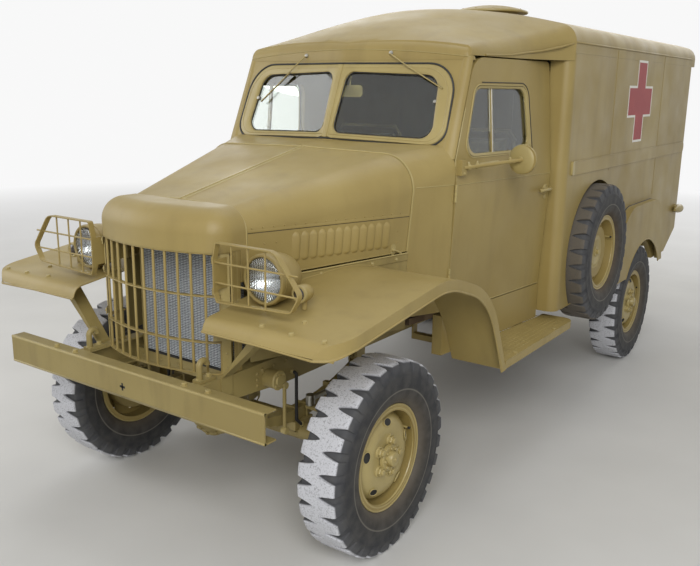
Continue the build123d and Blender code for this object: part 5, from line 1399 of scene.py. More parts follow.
@dataclass(frozen=True)
class HoodTrim:
    """Louvres, rivets, beads, latches and the centre hinge of the hood."""

    louvres: int = 12
    pitch: float = 40
    first: float = -108
    low: float = 1190
    high: float = 1276

    def build(self) -> None:
        """Dress both halves and the nose and cowl beads between them."""
        for name, side in SIDES:
            piece = Piece(f"hood_{name}_trim", PANEL_PAINT, SHADOW, FITTING_PAINT)
            for k in range(self.louvres):
                self.louvre(piece, side, self.first + self.pitch * k)
            self.seams(piece, side)
            self.fastenings(piece, side)
            piece.build(f"hood_{name}")
        self.beads()
        self.hinge()

    def spot(self, side: int, station: float, z: float, proud: float = 0.0) -> Vector:
        """Point on the hood's side, or proud of it."""
        return metres(side * (HOOD.side(station, z) + proud), station, z)

    def louvre(self, piece: Piece, side: int, station: float) -> None:
        """Rounded pressed capsule with a pointed top over the CAD wedge, with a dark plate of painted shade behind
        its open edge.

        Args:
            piece: The piece that gets these parts.
            side: 1 on the left, -1 on the right.
            station: Station of the louvre's front edge.
        """
        rise = ((-4, 0), (-1, 2.2), (4, 5.2), (9, 8), (14, 9.9), (18, 10.9), (21.5, 10.8), (24, 8.4), (25.4, 4),
                (26, 0))
        rows = []
        ends = ((-14, 0.0), (-11, 0.42), (-7, 0.72), (-3, 0.92), (0, 1.0))
        levels = [(self.low + d, f) for d, f in ends] + [(self.high, 1.0), (self.high + 5, 0.9),
                                                        (self.high + 11, 0.66), (self.high + 16, 0.36),
                                                        (self.high + 20, 0.0)]
        for z, full in levels:
            row = []
            for d, proud in rise:
                s = station + 11 + (d - 11) * (0.25 + 0.75 * full)
                row.append(self.spot(side, s, z, proud * full - 0.4))
            rows.append(row)
        piece.skin(rows, 0)
        # Painted shade: a dark plate behind the louvre's open edge
        slit = [(25.6, self.low - 6), (28.2, self.low - 2), (28.2, self.high + 4), (25.6, self.high + 10)]
        piece.plate([self.spot(side, station + d, z, 0.3) for d, z in slit], Vector((side * 0.0005, 0, 0)), 1)

    def seams(self, piece: Piece, side: int) -> None:
        """Joint of the side panel at z 1309, its rivets and the rolled lower edge.

        Args:
            piece: The piece that gets these parts.
            side: 1 on the left, -1 on the right.
        """
        stations = [HOOD.front + 8 + k * 19.1 for k in range(41)]
        # Panel step: the upper sheet stands 2 mm proud over a dark strip of painted shade under its edge
        for z0, z1, p0, p1, finish in ((1309, 1306.4, 0.5, 0.5, 1), (1312, 1309, 2.4, 1.2, 0),
                                       (1320, 1312, 0.3, 2.4, 0)):
            piece.skin([[self.spot(side, s, z0, p0) for s in stations],
                        [self.spot(side, s, z1, p1) for s in stations]], finish)
        out = HOOD.out(0, side)
        piece.rivets([self.spot(side, -285 + 46.5 * k, 1326, 0.2) for k in range(16)], out, 4, 2)
        piece.rivets([self.spot(side, s, z, 0.2) for s, z in ((354, 1249), (408, 1247), (359, 1201),
                                                              (411, 1198), (-180, 1262), (-180, 1190),
                                                              (-232, 1262), (-232, 1190))], out, 4, 2)
        foot = [self.spot(side, s, HOOD.section(s)[4] + 3, 0.6) for s in stations]
        piece.tube(foot, 3.4, 8)

    def fastenings(self, piece: Piece, side: int) -> None:
        """Keyhole-shaped latch plate with its lever handle near the cowl, and the front one.

        Args:
            piece: The piece that gets these parts.
            side: 1 on the left, -1 on the right.
        """
        for station, ahead in ((390, 1), (-205, 1)):
            out = HOOD.out(station, side)
            base = self.spot(side, station, 1166, 0)
            rear = Vector((side * 0.31, 0.95, 0)).normalized()
            up = out.cross(rear).normalized() * (1 if out.cross(rear).z > 0 else -1)
            outline = [base + (rear * 15 * math.sin(t) + up * (20 * math.cos(t) + (6 if math.cos(t) > 0 else -4)))
                       / 1000 for t in turns(20)]
            piece.plate(outline, out * 0.003, 2)
            piece.lathe([(2, 9), (9, 8), (12, 6), (12.5, 0)], base, out, 16, 2)
            grip = [base + out * 0.010 + rear * a / 1000 * ahead - up * b / 1000 for a, b in
                    ((-3, 0), (12, 3), (26, 9), (38, 17), (50, 23))]
            piece.tube(grip, 4.6, 8, 2)

    def beads(self) -> None:
        """Raised beads round the hood's rear edge and round the joint of the nose."""
        for label, station, radius in (("cowl", HOOD.rear - 1, 4.6), ("nose", HOOD.front + 3, 4.2)):
            piece = Piece(f"{label}_bead", FITTING_PAINT, SEAL_RUBBER)
            for _, side in SIDES:
                line = path(side, ((x, station, z) for x, z in HOOD.outline(station, 0.5)))
                piece.tube(line, radius, 10)
            piece.build("vehicle")

    def hinge(self) -> None:
        """Piano hinge down the middle of the hood: knuckles on the pin and a leaf on each half."""
        knuckles = Piece("hood_hinge_knuckles", FITTING_PAINT)
        count = 34
        span = (HOOD.rear - HOOD.front - 12) / count
        for k in range(count):
            s0 = HOOD.front + 6 + k * span
            ends = [metres(0, s, HOOD.section(s)[0] + 1.2) for s in (s0 + 1.2, s0 + span - 1.2)]
            knuckles.tube(ends, 5.2, 10)
        knuckles.build("vehicle")
        for name, side in SIDES:
            leaf = Piece(f"hood_{name}_hinge_leaf", FITTING_PAINT)
            rows = []
            for x, lift in ((4, 2.4), (18, 1.6), (19, 0.2)):
                rows.append([metres(side * x, s, HOOD.top(s, x) + lift) for s in
                             (HOOD.front + 8, 0, 200, HOOD.rear - 8)])
            leaf.skin(rows)
            leaf.build(f"hood_{name}")


@dataclass(frozen=True)
class Fenders:
    """Bolts, rolled edges and beads of the fenders, aprons and running boards."""

    crest: tuple = ((-575, 990), (-558, 1036), (200, 1136), (590, 1005), (786, 575))
    bends: Point = (50, 500, 450)
    out: float = 962
    lip_depth: float = 46
    front_station: float = -575
    front_low: float = 990
    # The rim's lowest height at the front corner, the corner's radius in plan and its centre's station
    nose: float = 983
    corner_radius: float = 150
    corner_station: float = -440
    # Rear arch: radius, height of the axle and the x of its bead
    arch: Point = (455, 404, 913.5)

    def build(self) -> None:
        """Make the trim of both sides."""
        top = rounded(self.crest, self.bends, 10)
        lip = self.moved(self.lip_depth)
        for name, side in SIDES:
            piece = Piece(f"front_fender_{name}_trim", PANEL_PAINT, FITTING_PAINT, SHADOW)
            self.edge(piece, side, lip)
            for x, s in ((613, -519), (754, -530), (894, -530), (730, -429), (618, -350)):
                z, slope = along(top, s)
                piece.bolts([metres(side * x, s, z)], Vector((0, -slope, 1)).normalized(), 17, 8, 1)
            self.apron(piece, side)
            piece.build("vehicle")
            self.board(name, side)
            self.rear_fender(name, side)

    def moved(self, depth: float) -> list[Spot]:
        """Crest line moved inwards, with its bends.

        Args:
            depth: Distance in mm.

        Returns:
            Points of station and height.
        """
        points = self.crest
        normals = []
        for (s0, z0), (s1, z1) in zip(points, points[1:]):
            run = math.hypot(s1 - s0, z1 - z0)
            normals.append(((z1 - z0) / run, (s0 - s1) / run))
        moved = []
        for k, (s, z) in enumerate(points):
            a, b = normals[max(k - 1, 0)], normals[min(k, len(normals) - 1)]
            reach = depth / (1 + a[0] * b[0] + a[1] * b[1])
            moved.append((s + (a[0] + b[0]) * reach, z + (a[1] + b[1]) * reach))
        return rounded(moved, [max(r - depth, 3) for r in self.bends], 14)

    def edge(self, piece: Piece, side: int, lip: Sequence[Spot]) -> None:
        """Wired edge along the fender's lower rim, round its front corner and across its front.

        Args:
            piece: The piece that gets these parts.
            side: 1 on the left, -1 on the right.
            lip: The rim's line of station and height.
        """
        corner_s, r = self.corner_station, self.corner_radius
        corner_x = self.out - r
        top = rounded(self.crest, self.bends, 10)
        low = along(lip, corner_s)[0]
        dip = self.front_low - self.nose
        line = [(x, self.front_station, self.front_low - dip * max(x - 640, 0) / 232)
                for x in (372, 500, 640, 780, 872)]
        wall = []
        for k in range(13):
            t = math.radians(26 + 64 * k / 12)
            s = corner_s - r * math.cos(t)
            share = k / 12
            rise = max((share - 0.25) / 0.75, 0)
            z = self.nose + (low - self.nose) * rise * rise * (3 - 2 * rise)
            x = corner_x + r * math.sin(t)
            line.append((x - 1, s, z))
            wall.append((x, s, z, along(top, max(s, -572))[0]))
        for s, z in lip:
            if s > corner_s and z > 590:
                line.append((self.out - 1.5, s, z))
        line.append((self.out - 1.5, 748, 588))
        piece.tube(path(side, line), 4.6, 10)
        # Corner of the rim, drawn round from the front to the side
        rows = []
        for share in (0.0, 0.3, 0.6, 0.85, 0.97):
            rows.append([metres(side * (x + 0.7 - 5 * max(share - 0.8, 0)), s, z0 + (z1 - z0) * share)
                         for x, s, z0, z1 in wall])
        piece.skin(rows)

    def apron(self, piece: Piece, side: int) -> None:
        """Bead along the apron's top flange with its bolts, and the fender's inner joint.

        Args:
            piece: The piece that gets these parts.
            side: 1 on the left, -1 on the right.
        """
        ends = ((-304, 1120.4, 364.6), (464, 1145.4, 602.8))
        (s0, z0, x0), (s1, z1, x1) = ends
        points = [(x0 + (x1 - x0) * k / 12, s0 + (s1 - s0) * k / 12, z0 + (z1 - z0) * k / 12) for k in range(13)]
        piece.tube([metres(side * x, s, z - 1) for x, s, z in points], 3.6, 8, 1)
        for x, s, z in points[1::2]:
            piece.bolts([metres(side * (x - 0.5), s, z - 20)], Vector((side, -0.31, 0)).normalized(), 12, 6, 1)
        top = rounded(self.crest, self.bends, 10)
        joint = []
        for k in range(21):
            s = -300 + 760 * k / 20
            joint.append(metres(side * (358 + 242 * (s + 310) / 780 + 5), s, along(top, s)[0] + 0.6))
        piece.tube(joint, 3.2, 8, 0)

    def board(self, name: str, side: int) -> None:
        """Running board's raised tread buttons, rolled edge and bolts.

        Args:
            name: Name of the side.
            side: 1 on the left, -1 on the right.
        """
        piece = Piece(f"running_board_{name}_tread", CHASSIS_PAINT, FITTING_PAINT)
        for row in range(8):
            x = 730 + 26 * row
            places = [metres(side * x, 830 + 27 * k + 13.5 * (row % 2), 620) for k in range(30)]
            piece.rivets([p for p in places if not (x < 770 and p.y < FRONT_AXLE_Y + 0.9)], Z_AXIS, 7, 1.8)
        piece.tube([metres(side * 946.5, 802, 616.5), metres(side * 946.5, 1636, 616.5)], 4, 10)
        piece.bolts([metres(side * x, s, 620) for s in (950, 1450) for x in (725, 930)], Z_AXIS, 15, 4, 1)
        piece.build("vehicle")

    def rear_fender(self, name: str, side: int) -> None:
        """Bead of the rear fender's opening and of its joint to the body.

        Args:
            name: Name of the side.
            side: 1 on the left, -1 on the right.
        """
        piece = Piece(f"rear_fender_{name}_beads", PANEL_PAINT, SEAL_RUBBER)
        radius, middle, x = self.arch
        angles = [math.radians(32 + (180 - 2 * 32) * k / 32) for k in range(33)]
        piece.tube(circle(metres(side * x, WHEELBASE, middle), Y_AXIS, Z_AXIS, radius, angles), 4.2, 10)
        front, back = WHEELBASE - 585, WHEELBASE + 476
        outer = rounded([(front, 650), (front + 62, 1118), (back - 160, 1118), (back, 650)], [280, 200], 12)
        piece.tube([metres(side * 866.5, s, z) for s, z in outer], 3.6, 8, 1)
        crest = rounded([(front + 4, 650), (front + 65, 1114), (back - 163, 1114), (back - 4, 650)],
                        [277, 197], 12)
        piece.tube([metres(side * 911.5, s, z) for s, z in crest], 3.8, 10)
        piece.build("vehicle")


@dataclass(frozen=True)
class Windshield:
    """Two-piece windshield: seal, painted frame, fluted divider, wipers, inner mirror and roof brow."""

    pane: tuple = ((12, 1622), (24, 1945), (545, 1927), (580, 1610))
    # Direction straight out of the glass
    out: Point = (0, -0.93, 0.37)
    # Pivot, elbow and tip of each wiper, as x and height
    left_wiper: tuple = ((262, 2012), (470, 1901), (566, 1853))
    right_wiper: tuple = ((246, 2004), (368, 1893), (498, 1776))
    nut: tuple = ((0, 12), (12, 11), (16, 8), (16, 0))
    mirror: Spot = (36, 1836)
    mirror_half: Spot = (73, 29)

    def plane(self, x: float, z: float, depth: float) -> float:
        """Station of a place so far behind the left pane's plane."""
        return 655 + 0.10 * abs(x) + 0.40 * (z - 1610) + depth

    def build(self) -> None:
        """Make the trim of both panes."""
        for name, side in SIDES:
            piece = Piece(f"windshield_{name}_frame", FITTING_PAINT, SEAL_RUBBER, BARE_STEEL)
            self.frame(piece, side)
            self.wiper(piece, side)
            piece.build("vehicle")
        self.middle()
        self.brow()

    def on_plane(self, side: int, line: Iterable[Spot], depth: float) -> list[Vector]:
        """Points of a line of x and height, so far behind the pane's plane."""
        return [metres(side * x, self.plane(x, z, depth), z) for x, z in line]

    def outer(self, depth: float) -> list[Spot]:
        """Line round the left half of the screen's frame, so far inside the rubber."""
        return rounded([(5, 1790), (5, 1613 + depth), (634 - depth, 1594 + depth), (612 - depth, 1966 - depth),
                        (5, 1968 - depth), (5, 1790)], [2, 80, 150, 2], 9)

    def inner(self, depth: float) -> list[Spot]:
        """Line round the left pane, so far inside the CAD pane's edge, with as many points.

        Args:
            depth: Distance in mm.

        Returns:
            Points of x and height.
        """
        low_in, low_out, top_out, top_in = (inset(self.pane, depth)[k] for k in (0, 3, 2, 1))
        start = ((low_in[0] + top_in[0]) / 2, 1790)
        return rounded([start, low_in, low_out, top_out, top_in, start], [45, 60, 75, 45], 9)

    def frame(self, piece: Piece, side: int) -> None:
        """Pressed frame between the outer rubber and the glass, with its fine bead and inner rubber.

        Args:
            piece: The piece that gets these parts.
            side: 1 on the left, -1 on the right.
        """
        rows = []
        for line, depth in ((self.outer(4), -12.4), (self.outer(7), -17), (self.outer(12), -18.5),
                            (self.inner(-8), -19.5), (self.inner(6), -18.5), (self.inner(14), -15),
                            (self.inner(17), -2)):
            rows.append(self.on_plane(side, line, depth))
        piece.skin(rows)
        piece.tube(self.on_plane(side, self.outer(20), -18.5), 2.4, 8)
        piece.tube(self.on_plane(side, self.inner(18.5), -5), 2.6, 6, 1)

    def wiper(self, piece: Piece, side: int) -> None:
        """Wiper hung from the header and parked outwards: pivot, thin arm and blade with its rubber.

        Args:
            piece: The piece that gets these parts.
            side: 1 on the left, -1 on the right.
        """
        def on_glass(x: float, z: float, lift: float) -> Vector:
            """Point so far in front of the glass."""
            return metres(side * x, self.plane(x, z, -lift), z)

        pivot, elbow, tip = self.left_wiper if side > 0 else self.right_wiper
        out = Vector(self.out)
        piece.lathe([*self.nut[:3], (17, 0)], on_glass(*pivot, 12), out, 20, 2)
        piece.tube([on_glass(*pivot, 32), on_glass((pivot[0] + elbow[0]) / 2, (pivot[1] + elbow[1]) / 2, 38),
                    on_glass(*elbow, 26)], 3, 8, 0)
        hold = [(elbow[0] + (tip[0] - elbow[0]) * k / 8, elbow[1] + (tip[1] - elbow[1]) * k / 8)
                for k in range(-2, 9)]
        piece.tube([on_glass(x, z, 24) for x, z in hold], 3.2, 6, 0)
        piece.tube([on_glass(x, z, 19) for x, z in hold], 3.4, 6, 1)
        # Clamp nut of the opening pane at its outer edge
        piece.lathe(self.nut, on_glass(538, 1790, -2), out, 18, 2)

    def middle(self) -> None:
        """Outer black rubber round both panes, fluted divider and inner mirror."""
        piece = Piece("windshield_divider", FITTING_PAINT, SEAL_RUBBER, REFLECTOR)
        for x in (-8, 0, 8):
            piece.tube([metres(x, self.plane(x, z, -19), z) for z in (1618, 1780, 1962)], 5, 10)
        half = [(x if k else 0, z) for k, (x, z) in enumerate(self.outer(0))]
        half = [spot for spot in half if spot[0] > 6]
        line = self.on_plane(-1, reversed(half), -13.4) + self.on_plane(1, half, -13.4)
        piece.tube(line, 4.6, 8, 1, closed=True)
        # Inner mirror on its bracket, left of the divider
        stem = [metres(24, self.plane(24, 1950, 20), 1950), metres(26, self.plane(26, 1920, 44), 1915),
                metres(30, self.plane(30, 1860, 58), 1862)]
        piece.tube(stem, 6, 8)
        x, z = self.mirror
        station = self.plane(x, z, 66)
        for finish, depth, grow in ((0, -8, 0), (2, 1, -4)):
            wide, tall = (half + grow for half in self.mirror_half)
            outline = loop([(-wide, -tall), (wide, -tall), (wide, tall), (-wide, tall)], 18, 5)
            piece.plate([metres(x + a, station + depth, z + b) for a, b in outline], Vector((0, 0.008, 0)), finish)
        piece.build("vehicle")

    def on_roof(self, start: Vector) -> Vector:
        """Point of the roof above a place, or one 20 mm higher than the place where there is no roof.

        Args:
            start: The place.

        Returns:
            The point in metres.
        """
        cab_roof = frame["nodes"]["roof"]
        down_from = cab_roof.matrix_world.inverted() @ Vector((start.x, start.y, 3))
        hit, place, *_ = cab_roof.ray_cast(down_from, -Z_AXIS)
        return cab_roof.matrix_world @ place if hit else start + Z_AXIS * 0.02

    def brow(self) -> None:
        """Rounded pressing that carries the screen's frame up into the roof, with its joint bead."""
        columns = [(x, 791 + 0.1 * abs(x) - 0.4, 0.0) for x in range(-620, 621, 20)]
        corner = [(636 + 38.6 * math.sin(t), 892 - 38.6 * math.cos(t), t) for t in
                  (math.pi / 2 * k / 7 for k in range(1, 8))]
        columns = [(-x, s, -t) for x, s, t in reversed(corner)] + columns + corner
        steps = 16
        rows = [[] for _ in range(steps + 1)]
        for x, s, turn in columns:
            inward = Vector((-math.sin(turn), math.cos(turn), 0))
            base = metres(x, s, 1982)
            fade = math.cos(turn) ** 2
            near, before, end = (self.on_roof(base + inward * reach / 1000) for reach in (60, 130, 150))
            slope = (end - before).normalized()
            crown = (near.z - base.z) * 0.74
            pull = [base, base + inward * (0.4 * crown - 0.030 * fade + 0.0005) + Z_AXIS * crown,
                    end - slope * (0.125 * fade + 0.10 * (1 - fade)), end - Z_AXIS * 0.0006]
            for k in range(steps + 1):
                t = k / steps
                share = ((1 - t) ** 3, 3 * t * (1 - t) ** 2, 3 * t * t * (1 - t), t ** 3)
                rows[k].append(sum((p * f for p, f in zip(pull, share)), Vector((0, 0, 0))))
        piece = Piece("roof_brow", PANEL_PAINT, FITTING_PAINT)
        piece.skin(rows)
        joint = []
        for column in range(len(columns)):
            x = abs(columns[column][0])
            level = 2.034 - 0.034 * (x / 620) ** 2
            above = next(k for k in range(steps + 1) if rows[k][column].z > level)
            low, high = rows[above - 1][column], rows[above][column]
            joint.append(low.lerp(high, (level - low.z) / (high.z - low.z)))
        piece.tube(joint, 2.2, 6, 1)
        piece.build("vehicle")


@dataclass(frozen=True)
class CabDoors:
    """Handles, hinges, rubbers, window frames and the outer mirror of the cab doors."""

    # Places on a door are the distance behind its front edge and the height
    window: tuple = ((80, 1550), (188, 1868), (655, 1868), (690, 1550))
    sill: float = 822
    bead_height: float = 1428
    trim_depth: Spot = (-43.6, -40)
    cranks: tuple = ((420, 1330, 95), (640, 1300, 70))
    hinge_heights: Spot = (1000, 1390)
    barrel: float = 25
    barrels: Point = (-38, -11, 16)
    # Out, distance and height of the outer mirror's foot, arm end and head
    mirror_foot: Point = (20, 30, 1508)
    mirror_arm_end: Point = (150, 330, 1536)
    mirror_head: Point = (150, 336, 1536)

    def build(self) -> None:
        """Dress both doors."""
        for name, side in SIDES:
            piece = Piece(f"cab_door_{name}_trim", FITTING_PAINT, SEAL_RUBBER, BARE_STEEL, REFLECTOR, INSIDE_PAINT)
            self.frames(piece, side)
            self.handle(piece, side)
            self.inside(piece, side)
            if side > 0:
                self.mirror(piece)
            piece.build(f"cab_door_{name}")
            self.hinges(name, side)
            self.cowl_crease(name, side)

    def cowl_crease(self, name: str, side: int) -> None:
        """Waist crease that runs from the hood's edge over the cowl to the door.

        Args:
            name: Name of the side.
            side: 1 on the left, -1 on the right.
        """
        cowl = frame["nodes"]["cowl"]
        found = []
        for station in range(482, 700, 24):
            start = metres(side * 1300, station, 1432)
            hit, place, *_ = cowl.ray_cast(cowl.matrix_world.inverted() @ start, Vector((-side, 0, 0)))
            if hit:
                found.append(cowl.matrix_world @ place)
        if len(found) > 2:
            piece = Piece(f"cowl_{name}_crease", FITTING_PAINT)
            piece.tube(found, 2.4, 6)
            piece.build("vehicle")

    def line(self, points: Sequence[Spot], out: float, side: int) -> list[Vector]:
        """Points on the door's skin from (distance, z) pairs."""
        return [DOOR.point(out, a, z, side) for a, z in points]

    def frames(self, piece: Piece, side: int) -> None:
        """Bead and rubber round the window, guide bars and the bead along the door's edge.

        Args:
            piece: The piece that gets these parts.
            side: 1 on the left, -1 on the right.
        """
        outer = loop(self.window, 55, 8)
        piece.tube(self.line(loop(inset(self.window, -5), 60, 8), 0.2, side), 4, 8, 0, closed=True)
        rows = [self.line(outer, 0.2, side), self.line(loop(inset(self.window, 2), 53, 8), -5, side),
                self.line(loop(inset(self.window, 4), 51, 8), -16, side)]
        piece.skin(rows, 1, round_rows=True)
        soft = loop(inset(self.window, 12), 62, 8)
        lip = loop(inset(self.window, 1), 56, 8)
        piece.skin([self.line(lip, 1.4, side), self.line(loop(inset(self.window, 6), 60, 8), 0.6, side),
                    self.line(soft, -4, side), self.line(soft, -12, side)], 0, round_rows=True)
        back = rounded([(240, 1884), (672, 1884), (708, 1540)], [72], 10)
        piece.tube(self.line(back, 0.4, side), 2.6, 6, 1)
        waist = [(9, self.bead_height + 2), (450, self.bead_height), (DOOR.length - 6, self.bead_height - 2)]
        piece.tube(self.line(waist, 0.2, side), 2.4, 6)
        bar = [DOOR.point(-13, 340, z, side) for z in (1553, 1700, 1866)]
        piece.tube(bar, 5.5, 8, 2)
        edge = [(7, 825), (7, 1545), (97.2, 1770)]
        piece.tube(self.line(edge, 0.3, side), 3.2, 8)
        sill = [(10, self.sill), (DOOR.length - 4, self.sill)]
        piece.tube(self.line(sill, 0.4, side), 3, 8)

    def handle(self, piece: Piece, side: int) -> None:
        """Lever handle with its round plate and lock.

        Args:
            piece: The piece that gets these parts.
            side: 1 on the left, -1 on the right.
        """
        far = DOOR.length - 45
        out = DOOR.normal(side)
        plate = DOOR.point(0, far, 1345, side)
        piece.lathe([(0, 25), (3, 24.5), (6, 20), (8, 15)], plate, out, 28)
        piece.lathe([(6, 14), (14, 11), (20, 10)], plate, out, 18)
        grip = [DOOR.point(o, far - a, z, side) for o, a, z in ((26, -14, 1345), (32, 2, 1345.5), (33, 30, 1346),
                                                                (32, 62, 1345), (28, 84, 1343), (22, 94, 1342))]
        piece.tube(grip, 9.2, 12)
        lock = DOOR.point(0, far + 4, 1302, side)
        piece.lathe([(0, 13), (2.5, 12.5), (3.5, 9), (3.5, 0)], lock, out, 20)

    def inside(self, piece: Piece, side: int) -> None:
        """Inner trim board and two cranks, each with its arm and knob.

        Args:
            piece: The piece that gets these parts.
            side: 1 on the left, -1 on the right.
        """
        board = [(40, 860), (DOOR.length - 40, 860), (DOOR.length - 40, 1500), (60, 1500)]
        outer = loop(board, 30, 5)
        back, front = (self.line(outer, depth, side) for depth in self.trim_depth)
        piece.skin([front, back], 4, round_rows=True, caps=True)
        for a, z, reach in self.cranks:
            hub = DOOR.point(-44, a, z, side)
            inwards = -DOOR.normal(side)
            piece.lathe([(0, 18), (10, 15), (16, 10)], hub, inwards, 20, 2)
            piece.tube([DOOR.point(-60, a, z, side), DOOR.point(-64, a + reach, z - 18, side)], 6, 8, 2)
            knob = [DOOR.point(out, a + reach, z - 18, side) for out in (-62, -92)]
            piece.tube(knob, 8, 10, 2)

    def mirror(self, piece: Piece) -> None:
        """Clamp, arm joints and head of the outer mirror.

        Args:
            piece: The piece that gets these parts.
        """
        _, back, height = self.mirror_foot
        foot = DOOR.point(0, back, height, 1)
        out = DOOR.normal(1)
        for dz in (-24, 24):
            piece.bolts([DOOR.point(25, back, height + dz, 1)], out, 12, 7)
        a, b = DOOR.point(*self.mirror_foot, 1), DOOR.point(*self.mirror_arm_end, 1)
        way = (b - a).normalized()
        for t, r in ((0.10, 15), (0.24, 14), (0.80, 12.5)):
            spot = a.lerp(b, t)
            piece.lathe([(-9, r * 0.75), (-6, r), (6, r), (9, r * 0.75)], spot, way, 14)
            piece.bolts([spot + Z_AXIS * (r - 1) / 1000], Z_AXIS, 10, 8)
        piece.tube([a.lerp(b, 0.28), a.lerp(b, 0.6)], 11.5, 12)
        piece.lathe([(0, 16), (6, 16)], foot + out * 0.02, out, 16)
        # Head: dished back to the front, glass to the rear
        face = DOOR.point(*self.mirror_head, 1)
        ahead = Vector((-math.sin(DOOR.angle), -math.cos(DOOR.angle), 0))
        piece.lathe([(-9, 68.4), (-5, 70), (3, 69), (8, 64), (12, 48), (14, 24), (14.5, 0)], face, ahead, 48)
        piece.lathe([(15, 14), (19, 12), (20, 0)], face, ahead, 20)
        piece.lathe([(-9.2, 0), (-9.2, 62)], face, ahead, 48, 3)
        piece.lathe([(-9.2, 62), (-11, 64), (-11, 67), (-9, 68.4)], face, ahead, 48)

    def hinges(self, name: str, side: int) -> None:
        """Hinge barrels on the door's front edge, and a dark tube of painted shade in the gap behind the door's
        rear edge.

        Args:
            name: Name of the side.
            side: 1 on the left, -1 on the right.
        """
        piece = Piece(f"cab_door_{name}_hinges", FITTING_PAINT, SHADOW)
        for z in self.hinge_heights:
            for low in self.barrels:
                ends = [DOOR.point(3, 2, z + low + rise, side) for rise in (0, self.barrel)]
                piece.tube(ends, 6.4, 12)
        # Painted shade: a dark tube sunk in the gap behind the door
        seam = [(DOOR.length + 3.2, 828), (DOOR.length + 3.2, 2008)]
        piece.tube(self.line(seam, -9, side), 4.5, 6, 1)
        piece.build("vehicle")


